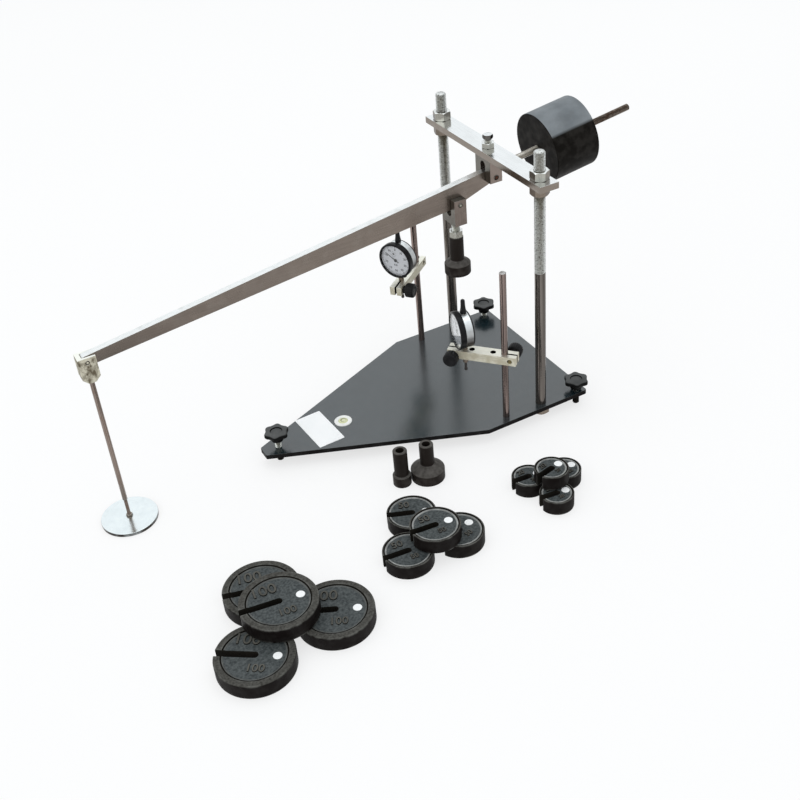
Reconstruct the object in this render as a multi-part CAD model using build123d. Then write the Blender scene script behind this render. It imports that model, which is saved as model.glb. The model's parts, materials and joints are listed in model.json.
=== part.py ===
from build123d import *
import math
import os

# All sizes in millimetres. The origin is on the plate's top face, under the load axis of the level lever.
# +X runs from the hanger towards the counterweight, +Y towards the left column and +Z is up.

# Clearances
PRESS_GAP = 0.02
RUNNING_GAP = 0.05
SLIDING_GAP = 0.10
FACE_GAP = 0.3

# Lever arms
LOAD_ARM = 63.0
LEVER_RATIO = 10.0
HANGER_ARM = LOAD_ARM * LEVER_RATIO

# Base plate and the holes through it
PLATE_T = 7.5
FLOOR_CLEARANCE = 17.5
COLUMN_HALF_SPACING = 130.0
POST_HALF_SPACING = COLUMN_HALF_SPACING
PLATE_SIDE_MARGIN = 15.5
PLATE_SIDE_AHEAD = 40.5
FRONT_SCREW_X = -322.5
FRONT_SCREW_MARGIN = 25.0
PLATE_TIP_W = 22.0
REAR_SCREW_BEHIND = 63.0
REAR_SCREW_OUTSET = 4.0
REAR_SCREW_MARGIN_X = 13.0
REAR_SCREW_MARGIN_Y = 10.5
PLATE_CORNER_R = 3.0

# Bubble level let into the plate
LEVEL_X = -213.5
LEVEL_RING_D = 27.5
LEVEL_RING_T = 2.0
LEVEL_RING_SUNK = 1.0
LEVEL_CUP_D = 20.0
LEVEL_CUP_DEPTH = 6.0
LEVEL_VIAL_D = 15.0
LEVEL_CUP_FLOOR = 1.5
LEVEL_GLASS_CROWN = 0.8

# Levelling screws, with the length of thread that shows between the plate and each knob
SCREW_D = 10.0
FRONT_SCREW_SHOW = 11.5
LEFT_SCREW_SHOW = 6.5
RIGHT_SCREW_SHOW = 3.0
SCREW_TIP_BEVEL = 1.5
KNOB_D = 38.5
KNOB_LOBES = 6
KNOB_LOBE_R = 6.0
KNOB_CORE_D = 33.0
KNOB_HUB_D = 18.0
KNOB_HUB_H = 10.0
KNOB_HEAD_H = 7.5
KNOB_RECESS_D = 18.0
KNOB_RECESS_DEPTH = 2.5
KNOB_SOCKET_DEPTH = 13.5
KNOB_EDGE = 1.5

# Columns
COLUMN_D = 16.0
COLUMN_TOP = 414.5
COLUMN_BEVEL = 1.5
COLUMN_NUT_FLATS = 24.0
FOOT_NUT_H = 9.0
COLUMN_FOOT_PROUD = 2.0

# Crossbar and its nuts
CROSSBAR_UNDER = 364.0
CROSSBAR_T = 10.0
CROSSBAR_W = 31.0
CROSSBAR_OVERHANG = 23.5
COLUMN_NUT_H = 13.0
LEFT_NUT_TURN = 14.0
RIGHT_NUT_TURN = 30.0
NUT_BEVEL_SHARE = 0.07

# Fulcrum fork and its bolt
FULCRUM_DROP = 30.3
FULCRUM_PIN_D = 8.0
FULCRUM_FORK_X = 20.0
FULCRUM_FORK_Y = 40.0
FULCRUM_FORK_BELOW_PIN = 8.0
FULCRUM_RELIEF_ABOVE_PIN = 15.0
FORK_RELIEF_D = 13.0
PIN_PROUD = 1.0
BOLT_D = 10.0
BOLT_HEAD_FLATS = 13.5
BOLT_HEAD_H = 7.5
BOLT_NUT_FLATS = 17.0
BOLT_NUT_H = 8.0
BOLT_SHOW = 4.0
BOLT_DEPTH = 7.0

# Lever bar, in a frame with the fulcrum pin at its origin and the hanger towards -X
LEVER_T = 11.0
LEVER_SIDE_GAP = 0.5
LEVER_END_R = 8.0
LEVER_BELLY_DEPTH = 35.0
LEVER_BELLY_AHEAD = 8.0
LEVER_TAIL = 18.0
LEVER_TAIL_DEPTH = 21.0
LEVER_TAIL_FLAT = 20.0
LOAD_PIN_DROP = 19.0
LOAD_PIN_D = 7.0
HANGER_PIN_D = 6.0

# Balance rod and counterweight
ROD_D = 10.0
ROD_SPIGOT_D = 8.0
ROD_RISE = 3.0
ROD_DEPTH = 10.0
ROD_REACH = 251.0
COUNTERWEIGHT_D = 106.5
COUNTERWEIGHT_L = 73.0
COUNTERWEIGHT_AT = 85.5
COUNTERWEIGHT_EDGE = 0.8

# Load fork, stud, lock nut and loading heads
LOAD_FORK_X = 20.0
LOAD_FORK_Y = 34.0
LOAD_FORK_ABOVE_PIN = 7.5
LOAD_FORK_BELOW_PIN = 32.5
LOAD_RELIEF_BELOW_PIN = 14.0
STUD_D = 12.0
STUD_DEPTH = 9.0
STUD_SHOW = 14.0
LOAD_NUT_FLATS = 19.0
LOAD_NUT_H = 10.0
HEAD_H = 60.0
HEAD_SHAFT_D = 21.0
HEAD_FLANGE_T = 16.5
HEAD_SOCKET_DEPTH = 25.0
HEAD_EDGE = 0.8
HEAD_SHOULDER_SLOPE = 0.7
HEAD_FLANGE_D = 39.5
SMALL_HEAD_FLANGE_D = 27.0
LARGE_HEAD_FLANGE_D = 50.0
LARGE_HEAD_PLACE = (-156.4, -160.5)
SPARE_HEADS_APART = 1.0
SPARE_HEADS_ANGLE = 168.0

# Hanger
HANGER_HANG = 276.7
HANGER_BLOCK_X = 24.5
HANGER_BLOCK_Y = 20.0
HANGER_BLOCK_ABOVE_PIN = 7.0
HANGER_BLOCK_BELOW_PIN = 31.5
HANGER_BLOCK_BEVEL = 7.5
HANGER_SLOT_BELOW_PIN = 13.0
HANGER_SLOT_END_GAP = 1.0
HANGER_ROD_D = 7.0
HANGER_ROD_DEPTH = 12.0
HANGER_THREAD_D = 5.0
HANGER_THREAD_SHOW = 30.0
HANGER_PLATE_D = 82.0
HANGER_PLATE_T = 5.0
HANGER_PLATE_EDGE = 0.4
HANGER_NUT_FLATS = 8.0
HANGER_NUT_H = 4.0
HANGER_NUT_SUNK = 0.5
HANGER_NUT_ROOM = 0.5

# Gauge posts and split arms; an arm's own frame has the post at its origin and the stem along +X
POST_D = 10.0
POST_TOP = 250.0
POST_DEPTH = 6.5
POST_BEVEL = 0.8
ARM_REACH = 60.8
ARM_W = 19.0
ARM_H = 14.0
ARM_POST_END = 19.0
ARM_STEM_END = 25.0
ARM_SLIT = 3.0
POST_SCREW_BEYOND = 9.8
STEM_SCREW_BEYOND = 15.5
ARM_SPARE_HOLE_D = 8.5
ARM_SPARE_SHARES = (0.29, 0.82)
ARM_SCREW_D = 7.0
ARM_SCREW_SHORT = 1.0
ARM_KNOB_D = 22.5
ARM_KNOB_H = 14.0
ARM_KNOB_EDGE = 1.2
ARM_COLLAR_D = 12.0
ARM_COLLAR_L = 4.6

# Height of each arm's top face, height of the dial's centre above it, and the ways the arm points
# and the dial faces, in degrees from +X
LEFT_ARM_TOP = 149.0
LEFT_GAUGE_RISE = 40.0
LEFT_ARM_ANGLE = 218.7
LEFT_DIAL_FACES = 207.5
RIGHT_ARM_TOP = 113.3
RIGHT_GAUGE_RISE = 33.8
RIGHT_ARM_ANGLE = 131.1
RIGHT_DIAL_FACES = 168.3

# Dial gauge, in a frame with the stem along Z, the case centre at its origin and the dial facing -Y
STEM_D = 8.0
STEM_BELOW_ARM = 3.0
CASE_D = 54.0
CASE_FRONT = -4.7
CASE_BACK = 8.0
CASE_WALL = 2.5
CASE_EDGE = 1.0
SPIGOT_D = 52.0
SPIGOT_L = 5.1
DIAL_D = 51.8
DIAL_T = 0.8
DIAL_HOLE_D = 2.4
BEZEL_D = 58.0
BEZEL_L = 9.0
BEZEL_WINDOW_D = 51.5
BEZEL_LIP = 0.8
BEZEL_EDGE = 0.8
GLASS_D = 53.0
GLASS_T = 1.0
NEEDLE_L = 20.5
NEEDLE_TAIL = 6.0
NEEDLE_W = 1.4
NEEDLE_POINT_W = 0.5
NEEDLE_T = 0.5
NEEDLE_HUB_D = 5.0
NEEDLE_HUB_T = 0.9
NEEDLE_LIFT = 0.4
SPINDLE_D = 1.6
SPINDLE_L = 4.2
LEFT_NEEDLE_TURN = 60.6
RIGHT_NEEDLE_TURN = 20.0
PLUNGER_D = 4.0
PLUNGER_OUT = 16.0
PLUNGER_TIP_D = 5.0
PLUNGER_TIP_L = 5.0
BUSH_H = 0.6
CAP_D = 9.6
CAP_H = 8.5
CAP_TOP_D = 6.8
CAP_TOP_H = 14.0
CAP_ROUND = 1.5

# Slotted weights, in three sizes
WEIGHT_T = 22.0
WEIGHT_SLOT_W = 10.0
WEIGHT_RIM_SHARE = 0.82
WEIGHT_RECESS = 1.5
WEIGHT_EDGE = 1.2
PLUG_D = 12.0
PLUG_DEPTH = 2.0
PLUG_SHARE = 0.56
PILE_SPREAD = 0.63
LARGE_WEIGHT_D = 103.5
MEDIUM_WEIGHT_D = 70.0
SMALL_WEIGHT_D = 49.0

# Each pile: centre, then the angle round it and the slot's direction for each lower weight,
# then the shift of the upper weight from the centre and its slot's direction
LARGE_PILE = ((-459.5, -323.0), ((212.2, 145.0), (341.9, 153.5), (93.0, 165.0)), (0.8, 11.0), 172.0)
MEDIUM_PILE = ((-227.5, -281.5), ((205.9, 174.0), (329.4, 196.0), (88.5, 157.0)), (5.0, -17.0), 174.0)
SMALL_PILE = ((-27.5, -285.0), ((252.9, 173.0), (133.8, 176.0), (14.7, 188.0)), (0.5, -3.0), 192.0)

# Heights and places that follow from the sizes above
FLOOR = -(PLATE_T + FLOOR_CLEARANCE)
LEVEL_TOP = LEVEL_RING_T - LEVEL_RING_SUNK
COLUMN_X = LOAD_ARM
CROSSBAR_TOP = CROSSBAR_UNDER + CROSSBAR_T
FULCRUM_Z = CROSSBAR_UNDER - FULCRUM_DROP
REAR_SCREW_X = COLUMN_X + REAR_SCREW_BEHIND
REAR_SCREW_HALF_SPACING = COLUMN_HALF_SPACING + REAR_SCREW_OUTSET
SLOT_W = LEVER_T + 2 * LEVER_SIDE_GAP
STEM_END = max(LEFT_GAUGE_RISE, RIGHT_GAUGE_RISE) + ARM_H + STEM_BELOW_ARM
SPIGOT_END = CASE_FRONT - SPIGOT_L

# The unloaded lever tilts until the hanger plate stands on the floor
PITCH = math.asin((FULCRUM_Z - HANGER_HANG - FLOOR) / HANGER_ARM)

STAND = (Align.CENTER, Align.CENTER, Align.MIN)
CORNER = (Align.MIN, Align.MIN, Align.MIN)


def upright(diameter, low, high):
    """A round bar along Z."""
    return Pos(0, 0, low) * Cylinder(diameter / 2, high - low, align=STAND)


def along_x(diameter, start, end):
    return Pos(start, 0, 0) * Rot(0, 90, 0) * Cylinder(diameter / 2, end - start, align=STAND)


def along_y(diameter, start, end):
    return Pos(0, start, 0) * Rot(-90, 0, 0) * Cylinder(diameter / 2, end - start, align=STAND)


def block(x, y, z):
    """A box between the given limits on each axis."""
    return Pos(x[0], y[0], z[0]) * Box(x[1] - x[0], y[1] - y[0], z[1] - z[0], align=CORNER)


def end_edges(shape, axis, which):
    """The edges of the lowest (0) or highest (-1) face along an axis."""
    return shape.faces().sort_by(axis)[which].edges()


def hexagon(flats, low, high):
    """A hexagonal bar along Z with turned corners."""
    height = high - low
    prism = extrude(RegularPolygon(flats / 2, 6, major_radius=False), height)
    turned = Cylinder(flats / math.sqrt(3), height, align=STAND)
    turned = chamfer(turned.edges().filter_by(GeomType.CIRCLE), NUT_BEVEL_SHARE * flats)
    return Pos(0, 0, low) * (prism & turned)


def nut(flats, low, high, bore):
    return hexagon(flats, low, high) - upright(bore, low, high)


def lever_point(x, z):
    """Where a point of the lever's own frame lies when the hanger stands on the floor."""
    along = COLUMN_X + x * math.cos(PITCH) - z * math.sin(PITCH)
    height = FULCRUM_Z + x * math.sin(PITCH) + z * math.cos(PITCH)
    return along, height


def on_lever(shape):
    return Pos(COLUMN_X, 0, FULCRUM_Z) * Rot(0, -math.degrees(PITCH), 0) * shape


LOAD_PIN_X, LOAD_PIN_Z = lever_point(-LOAD_ARM, -LOAD_PIN_DROP)
HANGER_PIN_X, HANGER_PIN_Z = lever_point(-HANGER_ARM, 0)
SCREW_PLACES = {
    "front": (FRONT_SCREW_X, 0.0),
    "left": (REAR_SCREW_X, REAR_SCREW_HALF_SPACING),
    "right": (REAR_SCREW_X, -REAR_SCREW_HALF_SPACING),
}
SCREW_SHOWS = {"front": FRONT_SCREW_SHOW, "left": LEFT_SCREW_SHOW, "right": RIGHT_SCREW_SHOW}
COLUMN_PLACES = {
    "left": (COLUMN_X, COLUMN_HALF_SPACING),
    "right": (COLUMN_X, -COLUMN_HALF_SPACING),
}
NUT_TURNS = {"left": LEFT_NUT_TURN, "right": RIGHT_NUT_TURN}
POST_PLACES = {
    "left": (0.0, POST_HALF_SPACING),
    "right": (0.0, -POST_HALF_SPACING),
}
ARM_TOPS = {"left": LEFT_ARM_TOP, "right": RIGHT_ARM_TOP}
GAUGE_RISES = {"left": LEFT_GAUGE_RISE, "right": RIGHT_GAUGE_RISE}
ARM_ANGLES = {"left": LEFT_ARM_ANGLE, "right": RIGHT_ARM_ANGLE}
DIAL_FACES = {"left": LEFT_DIAL_FACES, "right": RIGHT_DIAL_FACES}
NEEDLE_TURNS = {"left": LEFT_NEEDLE_TURN, "right": RIGHT_NEEDLE_TURN}


def base_plate():
    side = COLUMN_HALF_SPACING + PLATE_SIDE_MARGIN
    rear = REAR_SCREW_HALF_SPACING + REAR_SCREW_MARGIN_Y
    tip_x = FRONT_SCREW_X - FRONT_SCREW_MARGIN
    rear_x = REAR_SCREW_X + REAR_SCREW_MARGIN_X
    half = [(tip_x, PLATE_TIP_W / 2), (-PLATE_SIDE_AHEAD, side), (rear_x, rear)]
    outline = half + [(x, -y) for x, y in reversed(half)]
    plate = Pos(0, 0, -PLATE_T) * extrude(make_face(Polyline(*outline, close=True)), PLATE_T)
    plate = fillet(plate.edges().filter_by(Axis.Z), PLATE_CORNER_R)
    for place in COLUMN_PLACES.values():
        plate -= Pos(*place) * upright(COLUMN_D + 2 * PRESS_GAP, -PLATE_T, 0)
    for place in POST_PLACES.values():
        plate -= Pos(*place) * upright(POST_D + 2 * RUNNING_GAP, -POST_DEPTH, 0)
    for place in SCREW_PLACES.values():
        plate -= Pos(*place) * upright(SCREW_D + 2 * RUNNING_GAP, -PLATE_T, 0)
    plate -= Pos(LEVEL_X, 0) * upright(LEVEL_CUP_D + 2 * PRESS_GAP, -LEVEL_CUP_DEPTH, 0)
    return plate - Pos(LEVEL_X, 0) * upright(LEVEL_RING_D + 2 * RUNNING_GAP, -LEVEL_RING_SUNK, 0)


def level_housing():
    ring = upright(LEVEL_RING_D, -LEVEL_RING_SUNK, LEVEL_TOP)
    ring = chamfer(end_edges(ring, Axis.Z, -1), LEVEL_RING_T / 3)
    cup = ring + upright(LEVEL_CUP_D, -LEVEL_CUP_DEPTH, -LEVEL_RING_SUNK)
    cup -= upright(LEVEL_VIAL_D, LEVEL_CUP_FLOOR - LEVEL_CUP_DEPTH, LEVEL_TOP)
    return Pos(LEVEL_X, 0) * cup


def level_glass():
    vial = upright(LEVEL_VIAL_D - 2 * PRESS_GAP, LEVEL_CUP_FLOOR - LEVEL_CUP_DEPTH, LEVEL_TOP)
    vial = chamfer(end_edges(vial, Axis.Z, -1), LEVEL_GLASS_CROWN)
    return Pos(LEVEL_X, 0) * vial


def levelling_screw(place, show):
    """A threaded stud that stands on the floor and reaches up into its knob."""
    stud = upright(SCREW_D, FLOOR, show + KNOB_SOCKET_DEPTH - FACE_GAP)
    stud = chamfer(end_edges(stud, Axis.Z, 0), SCREW_TIP_BEVEL)
    return Pos(*place) * stud


def star_knob(place, show):
    """A lobed hand knob with a hub below and a round recess on top."""
    star = Circle(KNOB_CORE_D / 2)
    for spot in PolarLocations(KNOB_D / 2 - KNOB_LOBE_R, KNOB_LOBES):
        star += spot * Circle(KNOB_LOBE_R)
    head_low = show + KNOB_HUB_H
    head_high = head_low + KNOB_HEAD_H
    head = Pos(0, 0, head_low) * extrude(star, KNOB_HEAD_H)
    head = chamfer(end_edges(head, Axis.Z, -1), KNOB_EDGE)
    knob = head + upright(KNOB_HUB_D, show, head_low)
    knob -= upright(KNOB_RECESS_D, head_high - KNOB_RECESS_DEPTH, head_high)
    knob -= upright(SCREW_D + 2 * RUNNING_GAP, show, show + KNOB_SOCKET_DEPTH)
    return Pos(*place) * knob


def column(place):
    """A round column that runs through the plate and its foot nut."""
    bar = upright(COLUMN_D, -PLATE_T - FOOT_NUT_H - COLUMN_FOOT_PROUD, COLUMN_TOP)
    bar = chamfer(bar.edges().filter_by(GeomType.CIRCLE), COLUMN_BEVEL)
    return Pos(*place) * bar


def column_foot_nuts():
    foot = nut(COLUMN_NUT_FLATS, -PLATE_T - FOOT_NUT_H, -PLATE_T, COLUMN_D + 2 * PRESS_GAP)
    return [Pos(*place) * foot for place in COLUMN_PLACES.values()]


def crossbar():
    half = COLUMN_HALF_SPACING + CROSSBAR_OVERHANG
    x = (COLUMN_X - CROSSBAR_W / 2, COLUMN_X + CROSSBAR_W / 2)
    bar = block(x, (-half, half), (CROSSBAR_UNDER, CROSSBAR_TOP))
    for place in COLUMN_PLACES.values():
        bar -= Pos(*place) * upright(COLUMN_D + 2 * SLIDING_GAP, CROSSBAR_UNDER, CROSSBAR_TOP)
    return bar - Pos(COLUMN_X, 0) * upright(BOLT_D + 2 * PRESS_GAP, CROSSBAR_UNDER, CROSSBAR_TOP)


def crossbar_nuts():
    bore = COLUMN_D + 2 * SLIDING_GAP
    lower = nut(COLUMN_NUT_FLATS, CROSSBAR_UNDER - COLUMN_NUT_H, CROSSBAR_UNDER, bore)
    upper = nut(COLUMN_NUT_FLATS, CROSSBAR_TOP, CROSSBAR_TOP + COLUMN_NUT_H, bore)
    placed = []
    for side, place in COLUMN_PLACES.items():
        spot = Pos(*place) * Rot(0, 0, NUT_TURNS[side])
        placed += [spot * lower, spot * upper]
    return placed


def fulcrum_fork():
    """A block bolted under the crossbar, slotted from below with a drilled relief at the slot's top."""
    half_x = FULCRUM_FORK_X / 2
    half_y = FULCRUM_FORK_Y / 2
    fork = block((-half_x, half_x), (-half_y, half_y), (-FULCRUM_FORK_BELOW_PIN, FULCRUM_DROP))
    slot = (-FULCRUM_FORK_BELOW_PIN, FULCRUM_RELIEF_ABOVE_PIN)
    fork -= block((-half_x, half_x), (-SLOT_W / 2, SLOT_W / 2), slot)
    fork -= Pos(0, 0, FULCRUM_RELIEF_ABOVE_PIN) * along_x(FORK_RELIEF_D, -half_x, half_x)
    fork -= along_y(FULCRUM_PIN_D + 2 * PRESS_GAP, -half_y, half_y)
    fork -= upright(BOLT_D + 2 * PRESS_GAP, FULCRUM_DROP - BOLT_DEPTH, FULCRUM_DROP)
    return Pos(COLUMN_X, 0, FULCRUM_Z) * fork


def fulcrum_pin():
    half = FULCRUM_FORK_Y / 2 + PIN_PROUD
    return Pos(COLUMN_X, 0, FULCRUM_Z) * along_y(FULCRUM_PIN_D, -half, half)


def fulcrum_bolt():
    head_low = CROSSBAR_TOP + BOLT_NUT_H + BOLT_SHOW
    bolt = upright(BOLT_D, CROSSBAR_UNDER - BOLT_DEPTH, head_low)
    return Pos(COLUMN_X, 0) * (bolt + hexagon(BOLT_HEAD_FLATS, head_low, head_low + BOLT_HEAD_H))


def fulcrum_nut():
    return Pos(COLUMN_X, 0) * nut(BOLT_NUT_FLATS, CROSSBAR_TOP, CROSSBAR_TOP + BOLT_NUT_H, BOLT_D + 2 * PRESS_GAP)


def lever_bar():
    """A flat bar with a straight top edge, deepest just ahead of the load pin and round at the hanger."""
    top = LEVER_END_R
    belly = top - LEVER_BELLY_DEPTH
    tail = top - LEVER_TAIL_DEPTH
    end_top = (-HANGER_ARM, top)
    end_low = (-HANGER_ARM, -LEVER_END_R)
    belly_x = -LOAD_ARM - LEVER_BELLY_AHEAD
    round_end = ThreePointArc(end_top, (-HANGER_ARM - LEVER_END_R, 0), end_low)
    rest = Polyline(
        end_low,
        (belly_x, belly),
        (LEVER_TAIL - LEVER_TAIL_FLAT, tail),
        (LEVER_TAIL, tail),
        (LEVER_TAIL, top),
        end_top,
    )
    face = make_face(Plane.XZ * (Curve() + [round_end, rest]))
    bar = extrude(face, LEVER_T / 2, both=True)
    half = LEVER_T / 2
    bar -= along_y(FULCRUM_PIN_D + 2 * RUNNING_GAP, -half, half)
    bar -= Pos(-LOAD_ARM, 0, -LOAD_PIN_DROP) * along_y(LOAD_PIN_D + 2 * RUNNING_GAP, -half, half)
    bar -= Pos(-HANGER_ARM, 0, 0) * along_y(HANGER_PIN_D + 2 * RUNNING_GAP, -half, half)
    bar -= Pos(0, 0, ROD_RISE) * along_x(ROD_SPIGOT_D + 2 * PRESS_GAP, LEVER_TAIL - ROD_DEPTH, LEVER_TAIL)
    return on_lever(bar)


def balance_rod():
    """A rod with its end turned down to fit the lever's tail."""
    rod = along_x(ROD_D, LEVER_TAIL, ROD_REACH)
    rod = chamfer(end_edges(rod, Axis.X, -1), ROD_D / 8)
    rod += along_x(ROD_SPIGOT_D, LEVER_TAIL - ROD_DEPTH, LEVER_TAIL)
    return on_lever(Pos(0, 0, ROD_RISE) * rod)


def counterweight():
    end = COUNTERWEIGHT_AT + COUNTERWEIGHT_L
    weight = along_x(COUNTERWEIGHT_D, COUNTERWEIGHT_AT, end)
    weight = chamfer(weight.edges().filter_by(GeomType.CIRCLE), COUNTERWEIGHT_EDGE)
    weight -= along_x(ROD_D + 2 * RUNNING_GAP, COUNTERWEIGHT_AT, end)
    return on_lever(Pos(0, 0, ROD_RISE) * weight)


def load_fork():
    """A block slotted from above for the lever, with a drilled relief at the slot's foot."""
    half_x = LOAD_FORK_X / 2
    half_y = LOAD_FORK_Y / 2
    fork = block((-half_x, half_x), (-half_y, half_y), (-LOAD_FORK_BELOW_PIN, LOAD_FORK_ABOVE_PIN))
    slot = (-LOAD_RELIEF_BELOW_PIN, LOAD_FORK_ABOVE_PIN)
    fork -= block((-half_x, half_x), (-SLOT_W / 2, SLOT_W / 2), slot)
    fork -= Pos(0, 0, -LOAD_RELIEF_BELOW_PIN) * along_x(FORK_RELIEF_D, -half_x, half_x)
    fork -= along_y(LOAD_PIN_D + 2 * PRESS_GAP, -half_y, half_y)
    fork -= upright(STUD_D + 2 * PRESS_GAP, -LOAD_FORK_BELOW_PIN, STUD_DEPTH - LOAD_FORK_BELOW_PIN)
    return Pos(LOAD_PIN_X, 0, LOAD_PIN_Z) * fork


def load_pin():
    half = LOAD_FORK_Y / 2 + PIN_PROUD
    return Pos(LOAD_PIN_X, 0, LOAD_PIN_Z) * along_y(LOAD_PIN_D, -half, half)


FORK_FOOT = LOAD_PIN_Z - LOAD_FORK_BELOW_PIN
HEAD_TOP = FORK_FOOT - STUD_SHOW - LOAD_NUT_H


def load_stud():
    return Pos(LOAD_PIN_X, 0) * upright(STUD_D, HEAD_TOP - HEAD_SOCKET_DEPTH, FORK_FOOT + STUD_DEPTH)


def load_nut():
    return Pos(LOAD_PIN_X, 0) * nut(LOAD_NUT_FLATS, HEAD_TOP, HEAD_TOP + LOAD_NUT_H, STUD_D + 2 * PRESS_GAP)


def head(flange_d):
    """A loading head standing at Z = 0: a flange, a sloping shoulder, a shaft and a socket for the stud."""
    flange = upright(flange_d, 0, HEAD_FLANGE_T)
    flange = chamfer(end_edges(flange, Axis.Z, -1), HEAD_EDGE)
    ledge = (flange_d - HEAD_SHAFT_D) / 2 - HEAD_EDGE
    shoulder = Cone(HEAD_SHAFT_D / 2 + ledge, HEAD_SHAFT_D / 2, HEAD_SHOULDER_SLOPE * ledge, align=STAND)
    shaft = upright(HEAD_SHAFT_D, HEAD_FLANGE_T, HEAD_H)
    shaft = chamfer(end_edges(shaft, Axis.Z, -1), HEAD_EDGE)
    solid = flange + Pos(0, 0, HEAD_FLANGE_T) * shoulder + shaft
    return solid - upright(STUD_D + 2 * PRESS_GAP, HEAD_H - HEAD_SOCKET_DEPTH, HEAD_H)


def loading_head():
    return Pos(LOAD_PIN_X, 0, HEAD_TOP - HEAD_H) * head(HEAD_FLANGE_D)


def spare_head_large():
    return Pos(*LARGE_HEAD_PLACE, FLOOR) * head(LARGE_HEAD_FLANGE_D)


def spare_head_small():
    """Stands close beside the large spare head."""
    apart = (LARGE_HEAD_FLANGE_D + SMALL_HEAD_FLANGE_D) / 2 + SPARE_HEADS_APART
    x = LARGE_HEAD_PLACE[0] + apart * math.cos(math.radians(SPARE_HEADS_ANGLE))
    y = LARGE_HEAD_PLACE[1] + apart * math.sin(math.radians(SPARE_HEADS_ANGLE))
    return Pos(x, y, FLOOR) * head(SMALL_HEAD_FLANGE_D)


def hanger_block():
    """A block that straddles the lever's round end in a round-ended slot, bevelled down to the rod."""
    half_x = HANGER_BLOCK_X / 2
    half_y = HANGER_BLOCK_Y / 2
    body = block((-half_x, half_x), (-half_y, half_y), (-HANGER_BLOCK_BELOW_PIN, HANGER_BLOCK_ABOVE_PIN))
    lowest = body.faces().sort_by(Axis.Z)[0]
    body = chamfer(lowest.edges().filter_by(Axis.Y), HANGER_BLOCK_BEVEL)
    slot_y = (-SLOT_W / 2, SLOT_W / 2)
    body -= block((0, half_x), slot_y, (-HANGER_SLOT_BELOW_PIN, HANGER_BLOCK_ABOVE_PIN))
    body -= along_y(2 * (LEVER_END_R + HANGER_SLOT_END_GAP), *slot_y)
    body -= along_y(HANGER_PIN_D + 2 * PRESS_GAP, -half_y, half_y)
    rod_top = HANGER_ROD_DEPTH - HANGER_BLOCK_BELOW_PIN
    body -= upright(HANGER_ROD_D + 2 * PRESS_GAP, -HANGER_BLOCK_BELOW_PIN, rod_top)
    return Pos(HANGER_PIN_X, 0, HANGER_PIN_Z) * body


def hanger_pin():
    half = HANGER_BLOCK_Y / 2
    return Pos(HANGER_PIN_X, 0, HANGER_PIN_Z) * along_y(HANGER_PIN_D, -half, half)


PAN_TOP = FLOOR + HANGER_PLATE_T
HANGER_NUT_LOW = PAN_TOP - HANGER_NUT_SUNK


def hanger_rod():
    top = HANGER_PIN_Z - HANGER_BLOCK_BELOW_PIN + HANGER_ROD_DEPTH
    shoulder = PAN_TOP + HANGER_THREAD_SHOW
    rod = upright(HANGER_ROD_D, shoulder, top) + upright(HANGER_THREAD_D, FLOOR, shoulder)
    return Pos(HANGER_PIN_X, 0) * rod


def hanger_plate():
    """A round plate with a shallow seat for the nut."""
    plate = upright(HANGER_PLATE_D, FLOOR, PAN_TOP)
    plate = chamfer(end_edges(plate, Axis.Z, -1), HANGER_PLATE_EDGE)
    seat_d = 2 * (HANGER_NUT_FLATS / math.sqrt(3) + HANGER_NUT_ROOM)
    plate -= upright(seat_d, HANGER_NUT_LOW, PAN_TOP)
    return Pos(HANGER_PIN_X, 0) * (plate - upright(HANGER_THREAD_D + 2 * PRESS_GAP, FLOOR, PAN_TOP))


def hanger_nut():
    bore = HANGER_THREAD_D + 2 * PRESS_GAP
    return Pos(HANGER_PIN_X, 0) * nut(HANGER_NUT_FLATS, HANGER_NUT_LOW, HANGER_NUT_LOW + HANGER_NUT_H, bore)


def gauge_post(place):
    post = upright(POST_D, -POST_DEPTH, POST_TOP)
    return Pos(*place) * chamfer(end_edges(post, Axis.Z, -1), POST_BEVEL)


def on_post(side, shape):
    """Moves a piece from an arm's own frame to its place on the post."""
    return Pos(*POST_PLACES[side], ARM_TOPS[side]) * Rot(0, 0, ARM_ANGLES[side]) * shape


def arm():
    """A bar split at both ends, which clamps the post at one end and the gauge's stem at the other."""
    far = ARM_REACH + ARM_STEM_END
    half = ARM_W / 2
    bar = block((-ARM_POST_END, far), (-half, half), (-ARM_H, 0))
    bar -= upright(POST_D + 2 * RUNNING_GAP, -ARM_H, 0)
    bar -= Pos(ARM_REACH, 0) * upright(STEM_D + 2 * RUNNING_GAP, -ARM_H, 0)
    bar -= block((-ARM_POST_END, 0), (-ARM_SLIT / 2, ARM_SLIT / 2), (-ARM_H, 0))
    bar -= block((ARM_REACH, far), (-ARM_SLIT / 2, ARM_SLIT / 2), (-ARM_H, 0))
    for x in (-POST_SCREW_BEYOND, ARM_REACH + STEM_SCREW_BEYOND):
        bar -= Pos(x, 0, -ARM_H / 2) * along_y(ARM_SCREW_D + 2 * RUNNING_GAP, -half, half)
    for share in ARM_SPARE_SHARES:
        bar -= Pos(share * ARM_REACH, 0) * upright(ARM_SPARE_HOLE_D, -ARM_H, 0)
    return bar


def clamp_screw():
    """A screw through the arm along Y, with a round knob whose collar bears on the arm's +Y side."""
    face = ARM_W / 2 + FACE_GAP
    knob_face = face + ARM_COLLAR_L
    knob = along_y(ARM_KNOB_D, knob_face, knob_face + ARM_KNOB_H)
    knob = chamfer(knob.edges().filter_by(GeomType.CIRCLE), ARM_KNOB_EDGE)
    knob += along_y(ARM_COLLAR_D, face, knob_face)
    return knob + along_y(ARM_SCREW_D, ARM_SCREW_SHORT - ARM_W / 2, face)


def post_screw():
    return Pos(-POST_SCREW_BEYOND, 0, -ARM_H / 2) * Rot(0, 0, 180) * clamp_screw()


def stem_screw():
    return Pos(ARM_REACH + STEM_SCREW_BEYOND, 0, -ARM_H / 2) * clamp_screw()


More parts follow.
